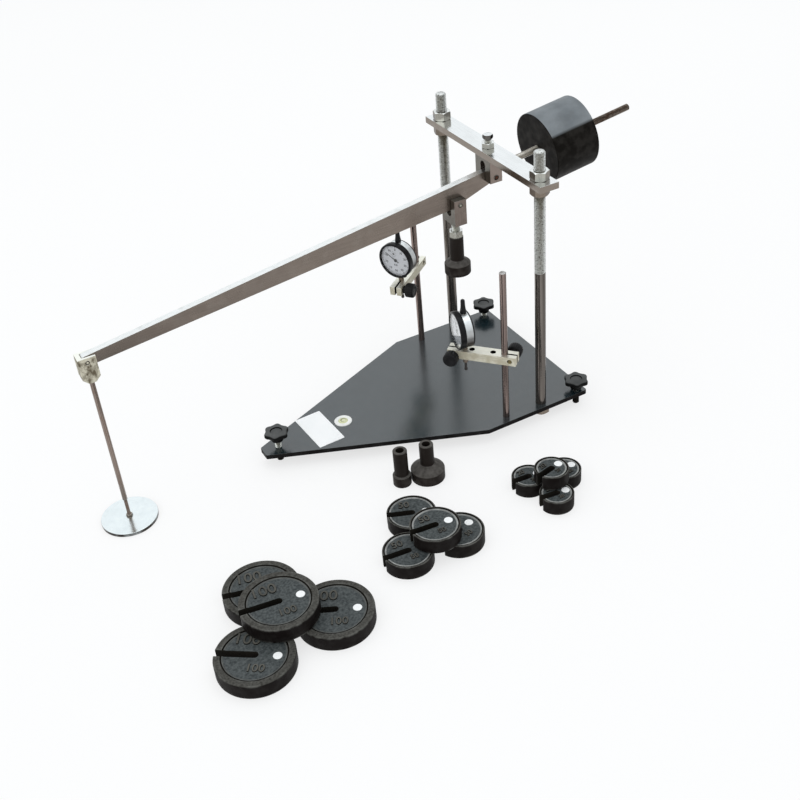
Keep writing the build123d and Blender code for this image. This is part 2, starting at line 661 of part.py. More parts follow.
def in_arm(side, shape):
    """Moves a piece from the gauge's own frame to its place in the arm."""
    angle = math.radians(ARM_ANGLES[side])
    x, y = POST_PLACES[side]
    height = ARM_TOPS[side] + GAUGE_RISES[side]
    stem = Pos(x + ARM_REACH * math.cos(angle), y + ARM_REACH * math.sin(angle), height)
    return stem * Rot(0, 0, DIAL_FACES[side] + 90) * shape


def gauge_case():
    """A hollow round case with a clamping stem below, a bush above and a spigot for the bezel in front."""
    case = along_y(CASE_D, CASE_FRONT, CASE_BACK)
    case = chamfer(end_edges(case, Axis.Y, -1), CASE_EDGE)
    case += along_y(SPIGOT_D, SPIGOT_END, CASE_FRONT)
    case += upright(STEM_D, -STEM_END, 0)
    case += upright(STEM_D, 0, CASE_D / 2 + BUSH_H)
    case -= along_y(CASE_D - 2 * CASE_WALL, SPIGOT_END + CASE_WALL, CASE_BACK - CASE_WALL)
    case -= along_y(DIAL_HOLE_D, SPIGOT_END, SPIGOT_END + CASE_WALL)
    return case - upright(PLUNGER_D + 2 * RUNNING_GAP, -STEM_END, CASE_D / 2 + BUSH_H)


def gauge_dial():
    """A thin disc on the end of the case's spigot."""
    dial = along_y(DIAL_D, SPIGOT_END - DIAL_T, SPIGOT_END)
    return dial - along_y(DIAL_HOLE_D, SPIGOT_END - DIAL_T, SPIGOT_END)


def gauge_bezel():
    """A ring that turns on the case's spigot and holds the glass behind its front lip."""
    back = CASE_FRONT - FACE_GAP
    front = back - BEZEL_L
    ring = along_y(BEZEL_D, front, back)
    ring = chamfer(ring.edges().filter_by(GeomType.CIRCLE), BEZEL_EDGE)
    ring -= along_y(SPIGOT_D + 2 * RUNNING_GAP, SPIGOT_END - FACE_GAP, back)
    ring -= along_y(GLASS_D + 2 * PRESS_GAP, front + BEZEL_LIP, SPIGOT_END)
    return ring - along_y(BEZEL_WINDOW_D, front, back)


def gauge_glass():
    inner = CASE_FRONT - FACE_GAP - BEZEL_L + BEZEL_LIP
    return along_y(GLASS_D, inner, inner + GLASS_T)


def gauge_needle(turn):
    """A pointer with a hub, on a spindle through the dial; turned anticlockwise from upright."""
    base = SPIGOT_END - DIAL_T - NEEDLE_LIFT
    hub = along_y(NEEDLE_HUB_D, base - NEEDLE_HUB_T, base)
    outline = [
        (-NEEDLE_W / 2, -NEEDLE_TAIL),
        (NEEDLE_W / 2, -NEEDLE_TAIL),
        (NEEDLE_POINT_W / 2, NEEDLE_L),
        (-NEEDLE_POINT_W / 2, NEEDLE_L),
    ]
    pointer = extrude(make_face(Plane.XZ * Polyline(*outline, close=True)), NEEDLE_T)
    needle = hub + Pos(0, base, 0) * pointer
    needle += along_y(SPINDLE_D, base, base + SPINDLE_L)
    return Rot(0, -turn, 0) * needle


def gauge_plunger():
    """A rod through stem and case with a contact tip below and a cap above the bush."""
    foot = -STEM_END - PLUNGER_OUT
    cap_low = CASE_D / 2 + BUSH_H + FACE_GAP
    cap_mid = cap_low + CAP_H
    tip = upright(PLUNGER_TIP_D, foot, foot + PLUNGER_TIP_L)
    tip = fillet(end_edges(tip, Axis.Z, 0), PLUNGER_TIP_D / 3)
    top = upright(CAP_TOP_D, cap_mid, cap_mid + CAP_TOP_H)
    top = fillet(end_edges(top, Axis.Z, -1), CAP_ROUND)
    return upright(PLUNGER_D, foot, cap_mid) + tip + upright(CAP_D, cap_low, cap_mid) + top


def slotted_weight(diameter, place, base, slot_angle):
    """A round weight with a raised rim, an open slot to its centre and a plug hole opposite the slot."""
    radius = diameter / 2
    body = upright(diameter, 0, WEIGHT_T)
    body = chamfer(body.edges().filter_by(GeomType.CIRCLE), WEIGHT_EDGE)
    body -= upright(diameter * WEIGHT_RIM_SHARE, WEIGHT_T - WEIGHT_RECESS, WEIGHT_T)
    body -= upright(WEIGHT_SLOT_W, 0, WEIGHT_T)
    body -= block((0, radius), (-WEIGHT_SLOT_W / 2, WEIGHT_SLOT_W / 2), (0, WEIGHT_T))
    plug_floor = WEIGHT_T - WEIGHT_RECESS - PLUG_DEPTH
    body -= Pos(-PLUG_SHARE * radius, 0) * upright(PLUG_D, plug_floor, WEIGHT_T)
    return Pos(*place, base) * Rot(0, 0, slot_angle) * body


def lower_weights(diameter, pile):
    """The three weights of a pile that lie on the floor."""
    (x, y), lower, _, _ = pile
    spread = PILE_SPREAD * diameter
    placed = []
    for angle, slot_angle in lower:
        turn = math.radians(angle)
        place = (x + spread * math.cos(turn), y + spread * math.sin(turn))
        placed.append(slotted_weight(diameter, place, FLOOR, slot_angle))
    return placed


def upper_weight(diameter, pile):
    """The weight that lies on the other three."""
    (x, y), _, (shift_x, shift_y), slot_angle = pile
    return slotted_weight(diameter, (x + shift_x, y + shift_y), FLOOR + WEIGHT_T, slot_angle)


def build_parts():
    parts = {
        "base_plate": base_plate(),
        "level_housing": level_housing(),
        "level_glass": level_glass(),
        "column_foot_nuts": column_foot_nuts(),
        "crossbar": crossbar(),
        "crossbar_nuts": crossbar_nuts(),
        "fulcrum_fork": fulcrum_fork(),
        "fulcrum_pin": fulcrum_pin(),
        "fulcrum_bolt": fulcrum_bolt(),
        "fulcrum_nut": fulcrum_nut(),
        "lever_bar": lever_bar(),
        "balance_rod": balance_rod(),
        "counterweight": counterweight(),
        "load_fork": load_fork(),
        "load_pin": load_pin(),
        "load_stud": load_stud(),
        "load_nut": load_nut(),
        "loading_head": loading_head(),
        "hanger_block": hanger_block(),
        "hanger_pin": hanger_pin(),
        "hanger_rod": hanger_rod(),
        "hanger_plate": hanger_plate(),
        "hanger_nut": hanger_nut(),
        "spare_head_small": spare_head_small(),
        "spare_head_large": spare_head_large(),
    }
    for name, place in SCREW_PLACES.items():
        parts[f"{name}_levelling_screw"] = levelling_screw(place, SCREW_SHOWS[name])
        parts[f"{name}_levelling_knob"] = star_knob(place, SCREW_SHOWS[name])
    for side, place in COLUMN_PLACES.items():
        parts[f"{side}_column"] = column(place)
    for side, place in POST_PLACES.items():
        parts[f"{side}_post"] = gauge_post(place)
        parts[f"{side}_arm"] = on_post(side, arm())
        parts[f"{side}_post_screw"] = on_post(side, post_screw())
        parts[f"{side}_stem_screw"] = on_post(side, stem_screw())
        parts[f"{side}_gauge_case"] = in_arm(side, gauge_case())
        parts[f"{side}_gauge_dial"] = in_arm(side, gauge_dial())
        parts[f"{side}_gauge_bezel"] = in_arm(side, gauge_bezel())
        parts[f"{side}_gauge_glass"] = in_arm(side, gauge_glass())
        parts[f"{side}_gauge_needle"] = in_arm(side, gauge_needle(NEEDLE_TURNS[side]))
        parts[f"{side}_gauge_plunger"] = in_arm(side, gauge_plunger())
    piles = {
        "large": (LARGE_WEIGHT_D, LARGE_PILE),
        "medium": (MEDIUM_WEIGHT_D, MEDIUM_PILE),
        "small": (SMALL_WEIGHT_D, SMALL_PILE),
    }
    for size, (diameter, pile) in piles.items():
        parts[f"{size}_weights_lower"] = lower_weights(diameter, pile)
        parts[f"{size}_weight_upper"] = upper_weight(diameter, pile)
    return parts


def write_parts(parts):
    os.makedirs("parts", exist_ok=True)
    for name, shape in parts.items():
        solids = shape if isinstance(shape, list) else [shape]
        export_step(Compound([solid for piece in solids for solid in piece.solids()]), f"parts/{name}.step")


write_parts(build_parts())
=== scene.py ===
"""The rebound modulus tester, dressed for its picture: finishes, screw threads, dials and small trim."""
import json
import math

import bmesh
import bpy
from mathutils import Matrix, Vector


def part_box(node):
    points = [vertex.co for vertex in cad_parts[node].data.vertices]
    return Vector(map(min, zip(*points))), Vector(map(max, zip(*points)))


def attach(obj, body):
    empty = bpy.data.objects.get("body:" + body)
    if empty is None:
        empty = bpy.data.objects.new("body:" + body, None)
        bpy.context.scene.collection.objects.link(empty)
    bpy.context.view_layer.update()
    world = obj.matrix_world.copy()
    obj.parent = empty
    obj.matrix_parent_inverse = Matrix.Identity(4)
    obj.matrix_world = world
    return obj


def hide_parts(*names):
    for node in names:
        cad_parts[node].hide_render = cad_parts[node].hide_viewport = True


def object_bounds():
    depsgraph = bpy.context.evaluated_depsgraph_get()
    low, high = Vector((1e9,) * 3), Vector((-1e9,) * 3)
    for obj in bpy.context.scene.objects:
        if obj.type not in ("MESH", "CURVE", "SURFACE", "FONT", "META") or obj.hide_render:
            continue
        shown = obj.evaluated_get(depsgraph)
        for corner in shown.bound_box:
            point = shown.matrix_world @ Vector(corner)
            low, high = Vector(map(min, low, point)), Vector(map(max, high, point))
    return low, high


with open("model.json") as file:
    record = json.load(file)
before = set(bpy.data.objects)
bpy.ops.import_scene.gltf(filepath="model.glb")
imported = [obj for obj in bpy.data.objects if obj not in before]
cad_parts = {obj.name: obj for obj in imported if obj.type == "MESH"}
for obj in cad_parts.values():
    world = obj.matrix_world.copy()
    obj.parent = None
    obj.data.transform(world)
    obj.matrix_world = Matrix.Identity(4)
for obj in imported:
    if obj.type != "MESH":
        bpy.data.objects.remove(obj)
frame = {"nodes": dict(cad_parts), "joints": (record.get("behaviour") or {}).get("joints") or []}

cad_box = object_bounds()
nodes = frame["nodes"]
joints = {joint["name"]: joint for joint in frame["joints"]}
MM = 0.001
TURN = 2 * math.pi

# Details that the solids leave plain, in millimetres. A thread is its pitch and its steps in a turn. A
# profile is a row of (radius, height) pairs, counted from the top, foot, edge or rim where it is used.
COLUMN_THREAD = (2.0, 36)
COLUMN_THREAD_LOW = 230.0
COLUMN_BEVEL = 1.5
COLUMN_END = ((-0.4, -1.8), (-1.5, -0.2), (-1.9, 0.0))
ROD_THREAD = (1.5, 24)
ROD_END = ((-0.5, -1.0), (-0.9, 0.0))
BOLT_THREAD = (1.5, 32)
BOLT_R = 5.0
BOLT_HEAD_H = 7.5
BOLT_HEAD_FLATS = 13.5
BOLT_NECK_H = 2.4
BOLT_SLOPE = 0.8
STUD_THREAD = (1.75, 32)
STUD_R = 6.0
HANGER_THREAD = (0.8, 24)
HANGER_THREAD_R = 2.5
HANGER_THREAD_TOP = 10.0
HANGER_R = 3.5
HANGER_SHOULDER = ((2.2, 0.0), (3.1, 0.1), (HANGER_R, 0.8))
SCREW_THREAD = (1.5, 28)
SCREW_R = 5.0
SCREW_TIP = ((3.3, 0.0), (4.2, 1.5))
KNOB_LOBES = 6
KNOB_LOBE_POWER = 1.25
KNOB_WAIST = 16.4
KNOB_HUB_H = 10.0
KNOB_HUB = ((5.1, 0.0), (8.2, 0.0), (9.0, 0.8), (9.4, 9.4), (10.0, KNOB_HUB_H))
KNOB_SKIRT = ((2.2, 0.0), (0.7, 0.5), (0.0, 1.6))
KNOB_ROUND_R = 2.6
KNOB_RECESS = ((10.2, 0.0), (9.4, -0.2), (9.0, -0.8), (8.5, -2.0), (7.4, -2.5), (5.2, -2.5), (1.0, -2.1))
CLAMP_THREAD = (1.0, 24)
CLAMP_THREAD_R = 3.5
CLAMP_TIP = ((2.5, 0.0), (3.1, 0.6))
CLAMP_KNOB_H = 14.0
CLAMP_FLUTES = 20
CLAMP_FLUTE_DEPTH = 0.55
CLAMP_COLLAR = ((5.5, 0.0), (6.0, 0.5))
CLAMP_NECK = ((6.0, -0.6), (6.8, 0.0))
CLAMP_RIM_BACK = ((1.2, 0.4), (0.3, 1.2), (0.0, 2.2))
CLAMP_RIM_FRONT = ((0.0, -2.6), (0.3, -1.5), (1.0, -0.7))
CLAMP_FRONT = ((-2.2, -0.15), (-4.0, 0.0), (-4.6, -0.5))
LABEL_SIZE = (42.5, 82.5, 0.8)
LABEL_AT = (-252.8, 1.9)
LABEL_TURN = 2.5
LABEL_CORNER = 1.5
LEVEL_DOME = ((7.4, -5.0), (7.4, -0.9), (6.8, -0.35), (5.4, -0.12), (2.0, -0.02), (0.5, 0.0))
BUBBLE_EDGE = ((4.3, -0.6), (4.4, -0.02), (0.5, 0.03))
BUBBLE_EDGE_AT = (0.8, 1.0)
BUBBLE = ((3.4, -0.3), (3.5, 0.04), (2.4, 0.08), (0.4, 0.10))
BUBBLE_AT = (0.3, -0.7)
GAUGE_LOOKS = (("post", "post_steel", 0.2), ("gauge_dial", "dial_white", 0.1),
               ("gauge_bezel", "bezel_black", 0.25), ("gauge_glass", "clear_glass", 0.1),
               ("gauge_needle", "needle_black", 0.08))
CASE_R = 27.0
BACK_COVER = ((-0.6, -2.3), (0.05, -2.2), (0.05, -0.5), (-0.6, 0.02), (-5.0, 0.02))
PLUNGER_R = 1.9
PLUNGER_TIP = ((0.6, 0.0), (1.6, 0.35), (2.3, 1.1), (2.5, 2.0), (2.5, 4.2), (2.2, 5.0), (PLUNGER_R, 5.1))
CAP_FOOT = ((4.2, 0.0), (4.75, 0.4), (4.8, 2.2), (4.5, 4.6), (4.0, 7.4), (3.6, 10.5), (3.4, 14.0))
CAP_TOP = ((3.3, -3.4), (3.2, -2.0), (2.7, -0.8), (1.8, -0.2), (0.6, 0.0))

# The dial's print: each mark's step in divisions, inner end and half width; figures; the small turn counter
DIAL_DIVISIONS = 100
DIAL_MARKS = ((10, 21.2, 0.26), (5, 22.2, 0.15), (1, 22.8, 0.15))
DIAL_MARK_R = 25.0
DIAL_FIGURES = 10
DIAL_FIGURE_R = 17.9
DIAL_FIGURE_H = 5.0
DIAL_NOTE_H = 4.0
DIAL_NOTE_AT = -8.2
DIAL_BOLD = 0.12
INK_T = 0.05
INK_LIFT = 0.03
COUNTER_AT = (-3.2, 10.4)
COUNTER_RING = ((4.4, 0.0), (4.6, 0.0), (4.6, INK_T), (4.4, INK_T))
COUNTER_MARK = ((-0.12, 0.12), (3.0, 4.1))
COUNTER_HAND = ((-0.45, 0.45), (-1.6, 2.7))
COUNTER_HAND_TURN = 0.8
COUNTER_HUB_R = 1.7

# For each size of weight: its figures, the finish of its bead with a painted highlight, where the rim ends as
# a share of the radius, its edge radius
WEIGHT_LOOKS = {"large": ("100", "painted_bead_dim_highlight", 0.82, 2.0), "medium": ("50", "painted_bead_highlight", 0.93, 1.2),
                "small": ("20", "painted_bead_highlight", 0.92, 1.2)}
WEIGHT_RECESS = 1.5
WEIGHT_CORE_R = 0.6
WEIGHT_FOOT = ((-1.4, 0.0), (-0.3, 0.5), (0.0, 1.6), (0.0, 2.8))
WEIGHT_EDGE_ANGLES = (0, 20, 40, 60, 78)
WEIGHT_STEP = ((0.5, -0.1), (0.2, -0.5))
WEIGHT_GROOVE = ((0.0, 0.0), (-0.2, -0.5), (-1.0, -0.5), (-1.3, 0.0))
WEIGHT_BEAD = ((-1.6, 0.7), (-2.6, 0.8), (-3.2, 0.4), (-3.7, 0.0))
SLOT_W = 10.0
SLOT_PAST = 5.0
SLOT_FLARE = 0.7
SLOT_FLARE_H = 0.9
PLUG_SHARE = 0.56
PLUG_R = 5.95
PLUG_DEPTH = 1.9
PLUG = ((PLUG_R, -PLUG_DEPTH), (PLUG_R, -0.1), (PLUG_R - 0.5, 0.25), (0.6, 0.35))
# Each figure's place and size as shares of the radius, and its height
FIGURES = ((0.27, -0.45, 0.46, 1.4), (-0.1, 0.42, 0.32, 1.1))
FIGURE_BOLD = 0.12
# Height of the thin dark plate under each figure, a painted shadow round it
FIGURE_SHADOW_H = 0.2

# A thread's depth and form (place along it, depth) as shares of its pitch; a pin's groove as shares of its
# radius; how far down and how steeply a nut's corners are turned off
THREAD_DEPTH = 0.55
THREAD_FORM = ((0.0, 1), (0.12, 1), (0.46, 0), (0.58, 0))
THREAD_LEAD = 1.5
PIN_GROOVE = (0.62, 0.88)
PIN_GROOVE_DEPTH = 0.5
NUT_DROP = 0.12
NUT_SLOPE = 1.75

# Steps round a turned form
SMALL_STEPS = 32
PLUG_STEPS = 40
ROUND_STEPS = 48
COLUMN_STEPS = 64
BOLT_STEPS = 72
NUT_STEPS = 96
KNOB_STEPS = 120
WEIGHT_STEPS = 144
CLAMP_STEPS = 200

# Limits in millimetres and degrees: points that are one, flat faces, eased edges and sharp creases
MERGE = 0.0005
WELD = 0.002
FLAT_ANGLE = 0.4
EDGE_ANGLE = 28
CREASE = 32
KNOB_CREASE = 40

# Finishes: the middle range of a noise, from where a surface faces up, and the way that sides with painted
# light face
SPREAD = (0.3, 0.7)
UPWARD = (0.3, 0.8)
PAINTED_LIGHT_SIDE = (-0.49, -0.87, 0.0)

# The floor and how much of its look is plain white rather than lit; the sky, low to high; each lamp's place,
# aim, size, watts and colour
FLOOR_SIZE = 14.0
FLOOR_WHITE_SHARE = 0.7
SKY_LOW = (0.50, 0.50, 0.50, 1.0)
SKY_MIDDLE = (0.88, 0.91, 0.93, 1.0)
SKY_MIDDLE_AT = 0.4
SKY_HIGH = (0.92, 0.95, 0.97, 1.0)
LAMPS = {"overhead": ((0.1, 0.5, 3.2), (-0.15, -0.05, 0.0), (2.6, 2.2), 15.0, (0.97, 0.99, 1.0)),
         "fill": ((-3.0, -1.6, 1.8), (-0.1, 0.0, 0.15), (1.8, 1.8), 6.0, (1.0, 0.98, 0.95))}

# The camera's place and the ways its right and upper sides point
CAMERA_AT = (-0.75310, -1.32961, 1.07132)
CAMERA_RIGHT = (0.8735224, -0.48092072, -0.07532513)
CAMERA_UP = (0.33780332, 0.48746202, 0.80515197)
CAMERA_LENS = 52.354


# Materials

class Shader:
    """A principled material, with short calls that wire texture nodes into it."""

    def __init__(self, **constants):
        self.mat = bpy.data.materials.new("finish")
        self.mat.use_nodes = True
        self.tree = self.mat.node_tree
        self.bsdf = self.tree.nodes["Principled BSDF"]
        self.coords = self.add("TexCoord")
        self.set(**constants)

    def add(self, kind, inputs=None, **settings):
        node = self.tree.nodes.new("ShaderNode" + kind)
        for key, value in settings.items():
            setattr(node, key, value)
        for key, value in (inputs or {}).items():
            self.feed(node.inputs[key], value)
        return node

    def feed(self, socket, value):
        if isinstance(value, bpy.types.NodeSocket):
            self.tree.links.new(value, socket)
        else:
            socket.default_value = value

    def set(self, **sockets):
        for key, value in sockets.items():
            if isinstance(value, tuple) and len(value) == 3:
                value = (*value, 1.0)
            self.feed(self.bsdf.inputs[key.replace("_", " ")], value)

    def noise(self, scale, detail=4.0, stretch=None, vector=None):
        """Noise over the object's own place in metres; stretch scales each axis."""
        vector = vector or self.coords.outputs["Object"]
        if stretch:
            vector = self.add("Mapping", {"Vector": vector, "Scale": stretch}).outputs[0]
        return self.add("TexNoise", {"Vector": vector, "Scale": scale, "Detail": detail}).outputs[0]

    def between(self, value, low, high, to_low=0.0, to_high=1.0):
        inputs = {"Value": value, "From Min": low, "From Max": high, "To Min": to_low, "To Max": to_high}
        return self.add("MapRange", inputs).outputs[0]

    def math(self, operation, a, b):
        return self.add("Math", {0: a, 1: b}, operation=operation).outputs[0]

    def mix(self, share, a, b, blend="MIX"):
        node = self.add("Mix", data_type="RGBA", blend_type=blend)
        for index, value in ((0, share), (6, a), (7, b)):
            if isinstance(value, tuple):
                value = (*value, 1.0)
            self.feed(node.inputs[index], value)
        return node.outputs[2]

    def up(self, low, high, to_low=0.0, to_high=1.0):
        """How far the surface faces up."""
        return self.between(self.toward((0.0, 0.0, 1.0)), low, high, to_low, to_high)

    def toward(self, way):
        """How squarely the surface faces a direction, from -1 to 1."""
        inputs = {0: self.coords.outputs["Normal"], 1: way}
        return self.add("VectorMath", inputs, operation="DOT_PRODUCT").outputs["Value"]

    def bump(self, height, strength, depth):
        inputs = {"Height": height, "Strength": strength, "Distance": depth * MM}
        self.set(Normal=self.add("Bump", inputs).outputs[0])

    def rub_and_glint_edges(self, colour, rub_and_glint, share):
        """Lightens sharp edges to the colour of what lies under the finish, which also serves as a painted
        highlight along them.
        """
        edge = self.between(self.add("NewGeometry").outputs["Pointiness"], 0.505, 0.56, 0.0, share)
        patch = self.between(self.noise(90.0), 0.42, 0.62)
        return self.mix(self.math("MULTIPLY", edge, patch), colour, rub_and_glint)

    def finish(self, colour, cloud, smooth, rough, marks, strength, depth):
        """Sets the colour, a roughness that clouds from smooth to rough and a bump of the marks."""
        self.set(Base_Color=colour, Roughness=self.between(self.noise(*cloud), *SPREAD, smooth, rough))
        self.bump(marks, strength, depth)
        return self.mat


def metal(top, side, rough, grain, stain=None, stain_scale=55.0, grain_depth=0.02, grain_share=(0.86, 1.08),
          painted_light_range=(0.35, 0.85), away=None, faces=PAINTED_LIGHT_SIDE):
    """Bare or plated metal: brighter where it faces up as a painted reflection, darker where it turns away
    from one side as painted shade, with fine tool marks and a few stains, given as a colour and a share."""
    shader = Shader(Metallic=1.0)
    # painted shade: faces turned from the given way take the darker colour
    if away:
        side = shader.mix(shader.between(shader.toward(faces), 0.4, 0.95), away, side)
    # painted reflection: the top colour where the surface faces up, the side colour below it
    colour = shader.mix(shader.up(*painted_light_range), side, top)
    marks = shader.noise(1.0, 3.0, grain)
    shade = shader.between(marks, *SPREAD, *grain_share)
    shade = shader.add("CombineXYZ", {0: shade, 1: shade, 2: shade}).outputs[0]
    colour = shader.mix(1.0, colour, shade, "MULTIPLY")
    if stain:
        spots = shader.between(shader.noise(stain_scale, 6.0), 0.52, 0.68, 0.0, stain[1])
        colour = shader.mix(spots, colour, stain[0])
    return shader.finish(colour, (38.0, 3.0), rough - 0.06, rough + 0.08, marks, 0.25, grain_depth)


def round_bar(dark, light, rough, marks=5.0, rust=None, end=None):
    """Ground round bar: painted reflection bands that run along it, a faint mottle and a painted highlight on
    its upper end.
    """
    shader = Shader(Metallic=1.0)
    # painted reflection: light and dark bands chosen by the way each face turns
    bands = shader.between(shader.noise(marks, 2.0, vector=shader.coords.outputs["Normal"]), 0.36, 0.62)
    fine = shader.noise(220.0, 3.0, (1.0, 1.0, 0.03))
    bands = shader.math("ADD", bands, shader.between(fine, *SPREAD, -0.18, 0.18))
    colour = shader.mix(bands, dark, light)
    if rust:
        spots = shader.between(shader.noise(140.0, 6.0), 0.48, 0.66, 0.0, rust[1])
        colour = shader.mix(spots, colour, rust[0])
    # painted highlight on what faces up
    if end:
        colour = shader.mix(shader.up(0.5, 0.9), colour, end)
    return shader.finish(colour, (70.0,), rough - 0.05, rough + 0.09, fine, 0.12, 0.02)


def coated(dark, light, rough, grain, depth, rub_and_glint=None, side=None, painted_light_range=UPWARD, gloss=0.5, coat=None,
           patch=26.0, plated=0.0):
    """Paint, oxide or casting skin: mottled colour, fine grain, sharp edges lightened as rubbed paint and as
    a painted highlight, painted shade on sides that do not face up; coat is its gloss on top and plated
    how metallic its top looks."""
    shader = Shader(Specular_IOR_Level=gloss)
    if plated:
        shader.set(Metallic=shader.up(*UPWARD, 0.0, plated))
    if coat:
        shader.set(Coat_Weight=shader.up(*UPWARD, 0.0, coat[0]))
        shader.set(Coat_Roughness=coat[1], Coat_IOR=coat[2])
    colour = shader.mix(shader.between(shader.noise(patch, 6.0), 0.32, 0.68), dark, light)
    # painted shade: the side colour where the surface does not face up
    if side:
        colour = shader.mix(shader.up(*painted_light_range), side, colour)
    # rubbed paint on sharp edges, which also serves as a painted highlight
    if rub_and_glint:
        colour = shader.rub_and_glint_edges(colour, *rub_and_glint)
    marks = shader.noise(grain, 3.0)
    return shader.finish(colour, (60.0, 5.0), rough - 0.07, rough + 0.09, marks, 0.35, depth)


def rough_casting(top, dark, light):
    """A rough cast skin: pale on top as painted light, with streaks of light and dark on its sides."""
    shader = Shader(Specular_IOR_Level=0.3, Roughness=0.6)
    streaks = shader.noise(150.0, 5.0, (1.0, 1.0, 0.8))
    colour = shader.mix(shader.between(streaks, 0.40, 0.60), dark, light)
    # painted light: the pale top colour on what faces up
    shader.set(Base_Color=shader.mix(shader.up(*UPWARD), colour, top))
    shader.bump(streaks, 0.8, 0.9)
    return shader.mat


def moulded(colour, rough, dust=None, gloss=0.5):
    """Moulded plastic with a faint sink and a little dust on what faces up."""
    shader = Shader(Specular_IOR_Level=gloss)
    shade = shader.between(shader.noise(45.0), *SPREAD)
    tone = shader.mix(shade, tuple(0.8 * c for c in colour), colour)
    if dust:
        up = shader.up(0.4, 1.0, 0.0, 0.5)
        tone = shader.mix(shader.math("MULTIPLY", up, shade), tone, dust)
    return shader.finish(tone, (120.0,), rough - 0.06, rough + 0.08, shader.noise(1400.0, 2.0), 0.2, 0.03)


def clear_pane(tint):
    """A thin clear pane: only its reflection shows, stronger at a glance."""
    shader = Shader(Metallic=1.0, Roughness=0.04, Base_Color=tint)
    glance = shader.add("LayerWeight", {"Blend": 0.5}).outputs["Facing"]
    smear = shader.between(shader.noise(60.0), 0.35, 0.7, 0.0, 0.02)
    shader.set(Alpha=shader.math("ADD", shader.between(glance, 0.35, 1.0, 0.03, 0.5), smear))
    return shader.mat


def vial_liquid(dark, light):
    """Clear liquid with a faint swirl of two tones."""
    shader = Shader(Roughness=0.08, Coat_Weight=0.6, Coat_Roughness=0.03)
    shader.set(Base_Color=shader.mix(shader.between(shader.noise(160.0), *SPREAD), dark, light))
    return shader.mat
